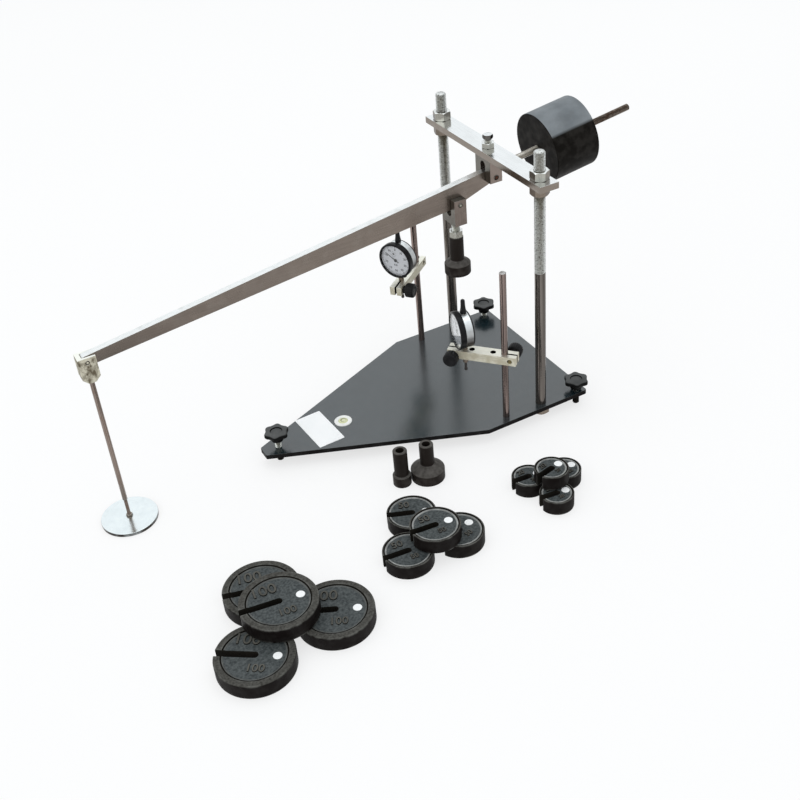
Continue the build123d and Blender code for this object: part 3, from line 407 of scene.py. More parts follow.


# In these finishes the top and side colours, the bands and the bright upper ends are painted light and shade:
# painted reflections on what faces up, painted shade on sides and on faces turned from the lit side
SKIN = {
    "plate_black": coated((0.003, 0.012, 0.016), (0.007, 0.018, 0.023), 0.42, 700.0, 0.02,
        rub_and_glint=((0.1, 0.1, 0.1), 0.2), side=(0.006, 0.005, 0.005), gloss=0.04, coat=(1.0, 0.2, 2.05)),
    "level_white": moulded((0.95, 0.95, 0.92), 0.35),
    "level_vial": vial_liquid((0.64, 0.66, 0.36), (0.74, 0.76, 0.48)),
    "column_steel": round_bar((0.035, 0.03, 0.027), (0.23, 0.205, 0.185), 0.22),
    "column_thread": metal((0.86, 0.88, 0.86), (0.165, 0.148, 0.11), 0.34, (30, 30, 900),
        stain=((0.045, 0.038, 0.028), 0.9), stain_scale=600.0),
    "post_steel": round_bar((0.065, 0.05, 0.045), (0.34, 0.265, 0.24), 0.22, end=(0.92, 0.93, 0.92)),
    "zinc": metal((0.86, 0.88, 0.84), (0.42, 0.41, 0.36), 0.28, (260, 260, 60),
        stain=((0.2, 0.18, 0.15), 0.3)),
    "nut_zinc": metal((0.95, 0.97, 0.95), (0.44, 0.435, 0.39), 0.24, (260, 260, 60),
        stain=((0.24, 0.22, 0.18), 0.3), away=(0.125, 0.1, 0.08)),
    "nut_shaded": metal((0.4, 0.36, 0.31), (0.24, 0.2, 0.165), 0.3, (260, 260, 60),
        stain=((0.1, 0.08, 0.06), 0.4), away=(0.13, 0.1, 0.08)),
    "bolt_head": metal((0.95, 0.97, 0.97), (0.13, 0.12, 0.11), 0.24, (260, 260, 60), painted_light_range=(0.6, 0.95),
        stain=((0.04, 0.035, 0.03), 0.4), away=(0.04, 0.035, 0.03)),
    "bright_plate": metal((0.98, 1.0, 0.99), (0.215, 0.18, 0.155), 0.26, (14, 900, 900),
        stain=((0.3, 0.27, 0.24), 0.18)),
    "crossbar_plate": metal((0.97, 0.99, 0.99), (0.25, 0.215, 0.185), 0.16, (900, 14, 900),
        stain=((0.62, 0.62, 0.6), 0.12), grain_share=(0.95, 1.03)),
    "fork_plate": metal((0.4, 0.41, 0.38), (0.25, 0.205, 0.18), 0.3, (900, 900, 30),
        stain=((0.12, 0.1, 0.08), 0.3), away=(0.17, 0.16, 0.14), faces=(0.0, -1.0, 0.0)),
    "pin_steel": metal((0.55, 0.53, 0.5), (0.24, 0.215, 0.19), 0.28, (500, 60, 500)),
    "pin_end": metal((0.6, 0.6, 0.52), (0.4, 0.4, 0.34), 0.34, (400, 400, 400),
        stain=((0.16, 0.12, 0.08), 0.5), stain_scale=260.0),
    "pin_rust": metal((0.2, 0.1, 0.07), (0.1, 0.045, 0.03), 0.45, (400, 400, 400),
        stain=((0.03, 0.015, 0.01), 0.7), stain_scale=260.0),
    "rod_bright": metal((0.95, 0.94, 0.9), (0.5, 0.47, 0.42), 0.24, (60, 900, 900),
        stain=((0.3, 0.25, 0.2), 0.25)),
    "rod_steel": round_bar((0.13, 0.105, 0.085), (0.36, 0.31, 0.27), 0.42, 3.0,
        rust=((0.12, 0.07, 0.045), 0.7)),
    # the counterweight: a painted sky reflection on its top, cut sharply to black below
    "satin_black": coated((0.155, 0.172, 0.184), (0.25, 0.272, 0.288), 0.46, 900.0, 0.02,
        rub_and_glint=((0.12, 0.11, 0.1), 0.3), side=(0.006, 0.005, 0.004), painted_light_range=(0.57, 0.64), gloss=0.05),
    "black_oxide": coated((0.06, 0.055, 0.05), (0.108, 0.1, 0.092), 0.45, 800.0, 0.1, patch=160.0,
        rub_and_glint=((0.2, 0.18, 0.16), 0.2), side=(0.018, 0.014, 0.012), gloss=0.05),
    "cream_cast": rough_casting((0.93, 0.93, 0.86), (0.13, 0.105, 0.065), (0.62, 0.58, 0.46)),
    "hanger_steel": round_bar((0.11, 0.08, 0.065), (0.33, 0.27, 0.235), 0.26, rust=((0.17, 0.1, 0.06), 0.3)),
    "mirror_plate": metal((0.93, 0.99, 1.0), (0.045, 0.04, 0.036), 0.16, (120, 120, 120),
        stain=((0.8, 0.87, 0.89), 0.3), grain_depth=0.002, grain_share=(0.96, 1.02)),
    "knob_black": coated((0.066, 0.068, 0.068), (0.116, 0.118, 0.117), 0.45, 1400.0, 0.03,
        side=(0.005, 0.005, 0.005), painted_light_range=(0.45, 0.95), gloss=0.05),
    "clamp_black": moulded((0.01, 0.01, 0.011), 0.38, dust=(0.022, 0.022, 0.022), gloss=0.15),
    # the arms: painted reflection on top and painted shade on the tan sides
    "yellow_plate": coated((0.93, 0.91, 0.8), (1.0, 0.99, 0.9), 0.4, 420.0, 0.05,
        rub_and_glint=((0.9, 0.88, 0.76), 0.5), side=(0.53, 0.485, 0.36), plated=0.95, patch=120.0),
    # painted shade for slits, holes, grooves, slot walls and what stands under the plate
    "painted_gap_shade": coated((0.01, 0.009, 0.007), (0.022, 0.019, 0.015), 0.7, 600.0, 0.05, gloss=0.05),
    "brass": metal((0.62, 0.52, 0.26), (0.24, 0.2, 0.1), 0.32, (300, 300, 300),
        stain=((0.1, 0.08, 0.04), 0.5)),
    # the gauge case: painted reflection, bright where it faces up and dark below
    "gauge_chrome": metal((0.94, 0.98, 0.99), (0.07, 0.062, 0.056), 0.38, (200, 200, 200),
        stain=((0.36, 0.34, 0.33), 0.08), grain_share=(0.95, 1.03), painted_light_range=(-0.35, 0.85)),
    "plunger_dark": metal((0.2, 0.19, 0.18), (0.07, 0.065, 0.06), 0.34, (400, 400, 400)),
    "dial_white": coated((0.57, 0.575, 0.605), (0.65, 0.655, 0.685), 0.5, 900.0, 0.01),
    "bezel_black": moulded((0.009, 0.009, 0.01), 0.28, dust=(0.03, 0.03, 0.03), gloss=0.12),
    "clear_glass": clear_pane((0.95, 0.97, 0.97)),
    "needle_black": coated((0.008, 0.008, 0.008), (0.014, 0.014, 0.014), 0.5, 900.0, 0.01, gloss=0.1),
    "weight_rim": coated((0.036, 0.035, 0.031), (0.092, 0.089, 0.08), 0.5, 420.0, 0.25, patch=330.0,
        rub_and_glint=((0.26, 0.26, 0.24), 0.6), side=(0.008, 0.006, 0.0055), gloss=0.05),
    "weight_field": coated((0.026, 0.032, 0.034), (0.088, 0.099, 0.099), 0.45, 420.0, 0.35, patch=330.0,
        side=(0.004, 0.004, 0.004), gloss=0.2),
    # painted highlights on the weights' beads
    "painted_bead_highlight": coated((0.16, 0.163, 0.158), (0.4, 0.405, 0.39), 0.34, 600.0, 0.1, side=(0.05, 0.05, 0.05),
        painted_light_range=(0.1, 0.6), gloss=0.4, patch=90.0),
    "painted_bead_dim_highlight": coated((0.055, 0.058, 0.056), (0.12, 0.125, 0.12), 0.4, 600.0, 0.1,
        side=(0.02, 0.02, 0.02), gloss=0.3, patch=90.0),
    # painted shade on the figures' sides
    "weight_figure": coated((0.062, 0.06, 0.052), (0.115, 0.11, 0.095), 0.5, 600.0, 0.1,
        side=(0.004, 0.004, 0.004), painted_light_range=(0.5, 0.9), gloss=0.15),
    "level_bubble": coated((0.66, 0.67, 0.45), (0.8, 0.81, 0.62), 0.2, 400.0, 0.01),
    "vial_shade": coated((0.09, 0.085, 0.03), (0.16, 0.15, 0.06), 0.3, 400.0, 0.02, gloss=0.2),
    "white_paint": coated((0.93, 0.94, 0.94), (0.97, 0.97, 0.97), 0.45, 500.0, 0.03),
}
for finish_name, material in SKIN.items():
    material.name = finish_name


# Mesh helpers

def vertex(bm, at, x, y, z):
    return bm.verts.new(at @ (Vector((x, y, z)) * MM))


def ring(bm, radius, height, count, at):
    """A closed loop of vertices; radius is a number or a function of the angle."""
    loop = []
    for i in range(count):
        angle = TURN * i / count
        reach = radius(angle) if callable(radius) else radius
        loop.append(vertex(bm, at, reach * math.cos(angle), reach * math.sin(angle), height))
    return loop


def skin(bm, loops, closed=False):
    """Faces between neighbouring loops; both ends are capped unless the loops close on themselves."""
    pairs = list(zip(loops, loops[1:]))
    if closed:
        pairs.append((loops[-1], loops[0]))
    for low, high in pairs:
        for i in range(len(low)):
            j = (i + 1) % len(low)
            bm.faces.new((low[i], low[j], high[j], high[i]))
    if not closed:
        bm.faces.new(loops[0][::-1])
        bm.faces.new(loops[-1])


def turned(bm, profile, count, at, closed=False):
    """A turned form from (radius, height) pairs, lowest first."""
    skin(bm, [ring(bm, radius, height, count, at) for radius, height in profile], closed)


def thread(bm, radius, form, low, high, at):
    """A screw thread as one unbroken helical surface, cut flat at both ends."""
    pitch, count = form
    steps = (math.ceil((high - low) / pitch) + 2) * count
    rows = []
    for share, depth in THREAD_FORM:
        reach = radius - THREAD_DEPTH * pitch * depth
        row = []
        for i in range(steps + 1):
            angle = TURN * i / count
            height = min(max(low + (i / count + share - THREAD_LEAD) * pitch, low), high)
            row.append((vertex(bm, at, reach * math.cos(angle), reach * math.sin(angle), height), height))
        rows.append(row)
    strips = [(rows[k], rows[k + 1], 0) for k in range(3)] + [(rows[3], rows[0], count)]
    for first, second, ahead in strips:
        for i in range(steps - ahead):
            corners = (first[i], first[i + 1], second[i + 1 + ahead], second[i + ahead])
            levels = {level for _, level in corners}
            if levels != {low} and levels != {high}:
                bm.faces.new([corner for corner, _ in corners])
    bmesh.ops.delete(bm, geom=[v for v in bm.verts if not v.link_faces], context="VERTS")
    bmesh.ops.edgeloop_fill(bm, edges=[e for e in bm.edges if e.is_boundary])


def moved(profile, height, radius=0.0):
    """A profile moved to a height and out to a radius."""
    return [(radius + reach, height + rise) for reach, rise in profile]


def rounding(radius, degrees):
    """A rounded edge as (inset, height) pairs, counted from its top."""
    angles = [math.radians(angle) for angle in degrees]
    return [(radius * (1 - math.cos(angle)), radius * (math.sin(angle) - 1)) for angle in angles]


def clipped(edge, limit):
    """An outline cut back to a circle."""
    return lambda angle: min(edge(angle), limit)


def set_in(edge, profile):
    """A profile whose radii are distances inwards from an outline."""
    return [(lambda angle, inset=inset: edge(angle) - inset, height) for inset, height in profile]


def shift(x, y, z=0.0):
    return Matrix.Translation((x * MM, y * MM, z * MM))


def rotated(degrees, axis):
    return Matrix.Rotation(math.radians(degrees), 4, axis)


def placed(name, data):
    """An object of some data, put in the scene."""
    obj = bpy.data.objects.new(name, data)
    bpy.context.scene.collection.objects.link(obj)
    return obj


def mesh_of(name, bm):
    mesh = bpy.data.meshes.new(name)
    bm.to_mesh(mesh)
    bm.free()
    return mesh


def modify(obj, kind, **settings):
    modifier = obj.modifiers.new(kind.lower(), kind)
    for key, value in settings.items():
        setattr(modifier, key, value)


def take_in(bm, obj, at=Matrix.Identity(4)):
    """Adds to a mesh what an object's text or modifiers come to."""
    bpy.context.view_layer.update()
    mesh = bpy.data.meshes.new_from_object(obj.evaluated_get(bpy.context.evaluated_depsgraph_get()))
    mesh.transform(at)
    bm.from_mesh(mesh)
    bpy.data.meshes.remove(mesh)


def piece(name, bm, look, body, slot, stands_for=(), crease=CREASE):
    """Makes one object of the mesh, in its finish, riding on a body."""
    bmesh.ops.remove_doubles(bm, verts=bm.verts, dist=MERGE * MM)
    bmesh.ops.recalc_face_normals(bm, faces=bm.faces)
    mesh = mesh_of(name, bm)
    mesh.shade_smooth()
    mesh.set_sharp_from_angle(angle=math.radians(crease))
    mesh.materials.append(SKIN[look])
    obj = placed(name, mesh)
    if stands_for:
        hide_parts(*stands_for)
    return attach(obj, body)


def turned_piece(name, profile, count, at, *finish, closed=False, **options):
    """One turned form as a piece; the rest is what piece takes after the mesh."""
    bm = bmesh.new()
    turned(bm, profile, count, at, closed)
    return piece(name, bm, *finish, **options)


def threaded_piece(name, radius, form, low, high, at, *finish, end=(), steps=SMALL_STEPS):
    """A thread with a turned end as a piece; the rest is what piece takes after the mesh."""
    bm = bmesh.new()
    thread(bm, radius, form, low, high, at)
    if end:
        turned(bm, end, steps, at)
    return piece(name, bm, *finish)


def dress(node, look, edge, segments=2):
    """Keeps a CAD node, with its edges eased and its finish on."""
    obj = nodes[node]
    obj.data.materials.clear()
    obj.data.materials.append(SKIN[look])
    ease(obj, edge, segments)


def ease(obj, edge, segments):
    """Small round edges, with flat faces kept flat."""
    modify(obj, "WELD", merge_threshold=WELD * MM)
    modify(obj, "DECIMATE", decimate_type="DISSOLVE", angle_limit=math.radians(FLAT_ANGLE))
    modify(obj, "BEVEL", width=edge * MM, segments=segments, limit_method="ANGLE",
           angle_limit=math.radians(EDGE_ANGLE))
    modify(obj, "WEIGHTED_NORMAL", keep_sharp=False)


def paint(obj, looks, pick, at=Matrix.Identity(4)):
    """Repaints faces: pick takes a face and its place in a frame and gives a finish's number, or none."""
    inside = at.inverted()
    first = len(obj.data.materials)
    for look in looks:
        obj.data.materials.append(SKIN[look])
    for face in obj.data.polygons:
        choice = pick(face, inside @ face.center / MM)
        if choice is not None:
            face.material_index = first + choice


def half_width(node):
    low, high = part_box(node)
    return (high.x - low.x) / 2 / MM


def upright(node):
    """Lowest and highest place of an upright round piece, and a frame on its axis at height 0."""
    low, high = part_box(node)
    centre = (low + high) / 2
    return low.z / MM, high.z / MM, Matrix.Translation((centre.x, centre.y, 0))


def copy_with_painted_shade(node, look, body, other, pick, at, edge, segments):
    """A copy of a CAD node in its finish, with painted shade in a second finish on the faces that pick
    chooses, and its edges eased.
    """
    bm = bmesh.new()
    bm.from_mesh(nodes[node].data)
    obj = piece(f"{node}_plated", bm, look, body, look, [node])
    paint(obj, (other,), pick, at)
    ease(obj, edge, segments)


def reach_along(node, frame_at, axis):
    """Lowest and highest place of a node along an axis of a frame, in millimetres."""
    inside = frame_at.inverted()
    values = [(inside @ point.co)[axis] / MM for point in nodes[node].data.vertices]
    return min(values), max(values)


def islands(node):
    """The separate solids of a node, in order along X: for each, the places of its vertices."""
    bm = bmesh.new()
    bm.from_mesh(nodes[node].data)
    bmesh.ops.remove_doubles(bm, verts=bm.verts, dist=WELD * MM)
    seen = set()
    groups = []
    for start in bm.verts:
        group, found = [], [start]
        while found:
            here = found.pop()
            if here not in seen:
                seen.add(here)
                group.append(here.co.copy())
                found += [edge.other_vert(here) for edge in here.link_edges]
        if group:
            groups.append(group)
    bm.free()
    return sorted(groups, key=lambda group: min((point.x, point.y) for point in group))


def number(bm, text, size, depth, at, bold):
    """Adds raised figures, centred at the origin of the given frame and facing its +Z."""
    curve = bpy.data.curves.new("figures", "FONT")
    curve.body = text
    curve.size = size * MM
    curve.extrude = depth * MM
    curve.offset = bold * MM
    curve.align_x = curve.align_y = "CENTER"
    obj = placed("figures", curve)
    take_in(bm, obj, at)
    bpy.data.objects.remove(obj)
    bpy.data.curves.remove(curve)


def slab(bm, x, y, z, at):
    """A small box between the given limits."""
    corners = [vertex(bm, at, a, b, c) for c in z for b in y for a in x]
    for face in ((0, 2, 3, 1), (4, 5, 7, 6), (0, 1, 5, 4), (2, 6, 7, 3), (0, 4, 6, 2), (1, 3, 7, 5)):
        bm.faces.new([corners[i] for i in face])


# Frame, lever and columns

def build_columns():
    pitch = COLUMN_THREAD[0]
    for side in ("left", "right"):
        node = f"{side}_column"
        low, high, at = upright(node)
        radius = half_width(node)
        bar = [(radius - COLUMN_BEVEL, low), (radius, low + COLUMN_BEVEL), (radius, COLUMN_THREAD_LOW - 1.2),
               (radius - THREAD_DEPTH * pitch, COLUMN_THREAD_LOW)]
        turned_piece(f"{node}_bar", bar, COLUMN_STEPS, at, "column_steel", "base", "column_steel", [node])
        threaded_piece(f"{node}_thread", radius, COLUMN_THREAD, COLUMN_THREAD_LOW - pitch,
                       high - COLUMN_BEVEL, at, "column_thread", "base", "column_steel",
                       end=moved(COLUMN_END, high, radius), steps=COLUMN_STEPS)


def lever_frame():
    """The lever's own frame: the fulcrum at its origin and +X along the balance rod."""
    along = Vector(joints["counterweight_slide"]["axis"])
    pitch = math.atan2(along.z, along.x)
    return Matrix.Translation(joints["lever_tilt"]["pos_m"]) @ Matrix.Rotation(-pitch, 4, "Y")


def build_balance_rod():
    """A threaded rod, bright between the lever and the counterweight and browned beyond it."""
    lever = lever_frame()
    start = reach_along("lever_bar", lever, 0)[1]
    end = reach_along("balance_rod", lever, 0)[1]
    split = sum(reach_along("counterweight", lever, 0)) / 2
    low, high = reach_along("balance_rod", lever, 2)
    radius = (high - low) / 2
    at = lever @ shift(0, 0, (low + high) / 2) @ rotated(90, "Y")
    threaded_piece("balance_rod_near", radius, ROD_THREAD, start, split, at, "rod_bright", "lever",
                   "rod_steel", ["balance_rod"])
    threaded_piece("balance_rod_thread", radius, ROD_THREAD, split, end - 0.8, at, "rod_steel", "lever",
                   "rod_steel", end=moved(ROD_END, end, radius))


def build_pin(node, body, end_skin):
    """A turned pin whose ends show a groove round the middle, with painted shade in it."""
    at = Matrix.Translation(sum(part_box(node), Vector()) / 2) @ rotated(-90, "X")
    half = reach_along(node, at, 2)[1]
    radius = reach_along(node, at, 0)[1]
    inner, outer = (share * radius for share in PIN_GROOVE)
    floor = half - PIN_GROOVE_DEPTH
    end = [(radius, half - 0.4), (radius - 0.4, half - 0.1), (outer, floor), (inner, floor),
           (inner - 0.2, half - 0.1), (0.3 * radius, half)]
    profile = [(reach, -height) for reach, height in reversed(end)] + end
    pin = turned_piece(f"{node}_turned", profile, ROUND_STEPS, at, "pin_steel", body, "pin_steel", [node])

    def pick(_, spot):
        reach = math.hypot(spot.x, spot.y)
        if abs(spot.z) < floor - 0.05 or reach > outer:
            return None
        return 0 if reach > inner - 0.15 else 1

    paint(pin, ("painted_gap_shade", end_skin), pick, at)


def hexagon(flats):
    """Distance from a hexagon's middle to its edge at an angle."""
    def reach(angle):
        offset = (angle + TURN / 12) % (TURN / 6) - TURN / 12
        return flats / 2 / math.cos(offset)
    return reach


def build_nuts(node, look, body, shaded_below=None):
    """Hexagon nuts with corners turned off at both ends, in place of a node's plain ones."""
    bm = bmesh.new()
    for points in islands(node):
        low = min(point.z for point in points) / MM
        high = max(point.z for point in points) / MM
        centre = sum((Vector((point.x, point.y, 0)) for point in points), Vector()) / len(points)
        offsets = [Vector((point.x, point.y, 0)) - centre for point in points]
        corner = max(offsets, key=lambda offset: offset.length)
        bore = min(offset.length for offset in offsets) / MM
        flats = corner.length / MM * math.sqrt(3)
        turn = math.atan2(corner.y, corner.x) + TURN / 12
        at = Matrix.Translation(centre) @ Matrix.Rotation(turn, 4, "Z")
        edge = hexagon(flats)
        drop = NUT_DROP * flats / math.sqrt(3)
        profile = []
        for end, way in ((low, 1), (high, -1)):
            rows = [(bore, end + way * 0.4), (bore + 0.5, end)]
            for share in (0.0, 0.25, 0.5, 0.75, 1.0):
                cone = flats / 2 - 0.3 + drop * NUT_SLOPE * share
                rows.append((clipped(edge, cone), end + way * drop * share))
            profile += rows[::way]
        turned(bm, profile, NUT_STEPS, at, True)
    nuts = piece(f"{node}_turned", bm, look, body, "zinc", [node])
    # nuts below that height take the finish with painted shade
    if shaded_below is not None:
        paint(nuts, ("nut_shaded",), lambda face, spot: 0 if spot.z < shaded_below else None)


def build_fulcrum_bolt():
    """A bolt whose head narrows to its thread below and is turned off above."""
    low, high, at = upright("fulcrum_bolt")
    head = high - BOLT_HEAD_H
    threaded_piece("fulcrum_bolt_thread", BOLT_R, BOLT_THREAD, low, head + 0.4, at, "zinc", "crossbar",
                   "zinc", ["fulcrum_bolt"])
    edge = hexagon(BOLT_HEAD_FLATS)
    widening = BOLT_HEAD_FLATS / math.sqrt(3) - BOLT_R
    profile = [(BOLT_R - 0.3, head)]
    for share in (0.0, 0.3, 0.6, 1.0):
        profile.append((clipped(edge, BOLT_R + 0.2 + widening * share), head + 0.1 + BOLT_NECK_H * share))
    for rise in (1.4, 1.0, 0.6, 0.2, 0.0):
        profile.append((clipped(edge, BOLT_HEAD_FLATS / 2 - 0.2 + rise * BOLT_SLOPE), high - rise))
    turned_piece("fulcrum_bolt_head", profile, BOLT_STEPS, at, "bolt_head", "crossbar", "zinc")


def build_load_stud():
    threaded_piece("load_stud_thread", STUD_R, STUD_THREAD, *upright("load_stud"), "zinc", "load_head",
                   "zinc", ["load_stud"])


def build_hanger_rod():
    low, high, at = upright("hanger_rod")
    bar = moved(HANGER_SHOULDER, HANGER_THREAD_TOP) + [(HANGER_R, high)]
    threaded_piece("hanger_rod_turned", HANGER_THREAD_R, HANGER_THREAD, low, HANGER_THREAD_TOP + 0.4, at,
                   "hanger_steel", "hanger", "hanger_steel", ["hanger_rod"], end=bar, steps=ROUND_STEPS)


def build_frame():
    build_columns()
    build_balance_rod()
    build_fulcrum_bolt()
    build_load_stud()
    build_hanger_rod()
    build_nuts("column_foot_nuts", "nut_shaded", "base")
    build_nuts("crossbar_nuts", "nut_zinc", "crossbar", sum(upright("crossbar")[:2]) / 2)
    build_nuts("fulcrum_nut", "nut_zinc", "crossbar")
    build_nuts("load_nut", "nut_zinc", "load_head")
    build_nuts("hanger_nut", "nut_shaded", "hanger")
    build_pin("fulcrum_pin", "crossbar", "pin_rust")
    build_pin("load_pin", "load_head", "pin_end")
    build_pin("hanger_pin", "hanger", "cream_cast")
    dress("base_plate", "plate_black", 0.7, 3)
    dress("crossbar", "crossbar_plate", 0.5, 3)
    dress("lever_bar", "bright_plate", 0.5, 3)
    dress("hanger_block", "cream_cast", 0.8, 3)
    dress("hanger_plate", "mirror_plate", 0.2)
    dress("counterweight", "satin_black", 0.3)
    for node in ("fulcrum_fork", "load_fork"):
        dress(node, "fork_plate", 0.4)
    for node in ("loading_head", "spare_head_small", "spare_head_large"):
        dress(node, "black_oxide", 0.3)


# Base plate's fittings

def star(tip):
    """Distance from a star knob's middle to its rounded edge at an angle."""
    def reach(angle):
        wave = 0.5 + 0.5 * math.cos(KNOB_LOBES * angle)
        return KNOB_WAIST + (tip - KNOB_WAIST) * wave ** KNOB_LOBE_POWER
    return reach


def build_levelling_screw(name):
    """A threaded screw, dark where it stands in the plate's shade."""
    node = f"{name}_levelling_screw"
    low, high, at = upright(node)
    screw = threaded_piece(f"{name}_screw_thread", SCREW_R, SCREW_THREAD, low + 1.4, high, at, "zinc",
                           f"{name}_screw", "zinc", [node], end=moved(SCREW_TIP, low))
    under = upright("base_plate")[0]
    paint(screw, ("painted_gap_shade",), lambda face, spot: 0 if spot.z < under else None)


def build_star_knob(name):
    """A lobed knob on a round hub, with a hollow in its top."""
    node = f"{name}_levelling_knob"
    low, high, at = upright(node)
    edge = moved(KNOB_SKIRT, low + KNOB_HUB_H) + moved(rounding(KNOB_ROUND_R, range(0, 91, 18)), high)
    profile = moved(KNOB_HUB, low) + set_in(star(half_width(node)), edge) + moved(KNOB_RECESS, high)
    turned_piece(f"{name}_star_knob", profile, KNOB_STEPS, at, "knob_black", f"{name}_knob", "knob_black",
                 [node], KNOB_CREASE)


def build_level():
    """The bubble level: a domed vial in its housing, with the bubble off its middle."""
    _, top, at = upright("level_housing")
    turned_piece("level_vial_domed", moved(LEVEL_DOME, top), ROUND_STEPS, at, "level_vial", "base",
                 "level_vial", ["level_glass"])
    # the bubble's dark edge is painted shade
    at = at @ shift(*BUBBLE_EDGE_AT)
    turned_piece("level_bubble_edge", moved(BUBBLE_EDGE, top), ROUND_STEPS, at, "vial_shade", "base",
                 "level_vial")
    at = at @ shift(*BUBBLE_AT)
    turned_piece("level_bubble", moved(BUBBLE, top), PLUG_STEPS, at, "level_bubble", "base", "level_vial")
    dress("level_housing", "level_white", 0.25)


def build_label():
    """A bare plate stuck on the base plate, with round corners and eased edges."""
    length, width, height = LABEL_SIZE
    at = shift(*LABEL_AT) @ rotated(LABEL_TURN, "Z")
    bm = bmesh.new()
    slab(bm, (-length / 2, length / 2), (-width / 2, width / 2), (0.02, height), at)
    corners = [edge for edge in bm.edges if abs(edge.verts[0].co.z - edge.verts[1].co.z) > 0.1 * MM]
    bmesh.ops.bevel(bm, geom=corners, offset=LABEL_CORNER * MM, segments=5, affect="EDGES", profile=0.5)
    rim = [edge for edge in bm.edges if min(v.co.z for v in edge.verts) > 0.9 * height * MM]
    bmesh.ops.bevel(bm, geom=rim, offset=0.3 * MM, segments=2, affect="EDGES", profile=0.5)
    piece("label_plate", bm, "white_paint", "base", "level_white")


def build_base_fittings():
    for name in ("front", "left", "right"):
        build_levelling_screw(name)
        build_star_knob(name)
    build_level()
    build_label()


# Dial gauges

def gauge_frame(side):
    """The gauge's own frame: the dial's centre at its origin, the stem along Z and the dial facing -Y."""
    turn = joints[f"{side}_bezel_turn"]
    facing = Vector(turn["axis"])
    return Matrix.Translation(turn["pos_m"]) @ Matrix.Rotation(math.atan2(facing.x, -facing.y), 4, "Z")


def build_dial_print(side, at):
    """Graduations and figures of a dial with a hundred divisions and a small turn counter."""
    face = reach_along(f"{side}_gauge_dial", at, 1)[0]
    flat = at @ shift(0, face) @ rotated(90, "X")
    counter = flat @ shift(*COUNTER_AT)
    ink = (0.0, INK_T)
    bm = bmesh.new()
    for i in range(DIAL_DIVISIONS):
        inner, half = next(mark[1:] for mark in DIAL_MARKS if i % mark[0] == 0)
        spin = Matrix.Rotation(-TURN * i / DIAL_DIVISIONS, 4, "Z")
        slab(bm, (-half, half), (inner, DIAL_MARK_R), ink, flat @ spin)
    angles = [TURN * i / DIAL_FIGURES for i in range(DIAL_FIGURES)]
    for i, angle in enumerate(angles):
        spot = shift(DIAL_FIGURE_R * math.sin(angle), DIAL_FIGURE_R * math.cos(angle), INK_LIFT)
        number(bm, str(10 * i), DIAL_FIGURE_H, INK_T / 2, flat @ spot, DIAL_BOLD)
    for angle in angles:
        slab(bm, *COUNTER_MARK, ink, counter @ Matrix.Rotation(angle, 4, "Z"))
    slab(bm, *COUNTER_HAND, ink, counter @ Matrix.Rotation(COUNTER_HAND_TURN, 4, "Z"))
    turned(bm, [(COUNTER_HUB_R, height) for height in ink], SMALL_STEPS, counter)
    number(bm, "0.01", DIAL_NOTE_H, INK_T / 2, flat @ shift(0, DIAL_NOTE_AT, INK_LIFT), DIAL_BOLD)
    finish = ("needle_black", f"{side}_gauge", "needle_black")
    piece(f"{side}_dial_print", bm, *finish)
    turned_piece(f"{side}_dial_counter", COUNTER_RING, ROUND_STEPS, counter, *finish, closed=True)


def build_case(side, at):
    """The round case, with painted shade on its stem in the shaded nut finish."""
    def pick(_, spot):
        return 0 if math.hypot(spot.x, spot.z) > CASE_R + 0.3 else None

    copy_with_painted_shade(f"{side}_gauge_case", "gauge_chrome", f"{side}_gauge", "nut_shaded", pick, at, 0.3, 2)


def build_back_cover(side, at):
    """The thin black cover on the back of the case."""
    back = reach_along(f"{side}_gauge_case", at, 1)[1]
    profile = moved(BACK_COVER, back, CASE_R) + [(3.0, back + 0.02)]
    turned_piece(f"{side}_back_cover", profile, NUT_STEPS, at @ rotated(-90, "X"), "bezel_black",
                 f"{side}_gauge", "bezel_black")


def build_plunger(side, at):
    """The thin rod with its contact tip, and the black bell-shaped cap on its upper end."""
    node = f"{side}_gauge_plunger"
    low, high = reach_along(node, at, 2)
    foot = reach_along(f"{side}_gauge_case", at, 2)[1] + 0.1
    body = f"{side}_plunger"
    rod = moved(PLUNGER_TIP, low) + [(PLUNGER_R, foot + 0.5)]
    turned_piece(f"{side}_plunger_rod", rod, PLUG_STEPS, at, "plunger_dark", body, "pin_steel", [node])
    cap = moved(CAP_FOOT, foot) + moved(CAP_TOP, high)
    turned_piece(f"{side}_plunger_cap", cap, ROUND_STEPS, at, "clamp_black", body, "knob_black")


def arm_frame(side):
    """An arm's own frame: the post's axis at its origin and the gauge's stem along +X."""
    post = Vector(joints[f"{side}_arm_swing"]["pos_m"])
    stem = Vector(joints[f"{side}_gauge_turn"]["pos_m"])
    turn = math.atan2(stem.y - post.y, stem.x - post.x)
    return Matrix.Translation((post.x, post.y, 0)) @ Matrix.Rotation(turn, 4, "Z")


def build_arm(side):
    """The split arm, with painted shade in its slits and holes."""
    node = f"{side}_arm"
    at = arm_frame(side)
    limits = [reach_along(node, at, axis) for axis in (0, 1)]

    def pick(face, spot):
        deep = all(low + 0.4 < spot[axis] < high - 0.4 for axis, (low, high) in enumerate(limits))
        return 0 if deep and abs(face.normal.z) < 0.5 else None

    copy_with_painted_shade(node, "yellow_plate", node, "painted_gap_shade", pick, at, 0.5, 3)


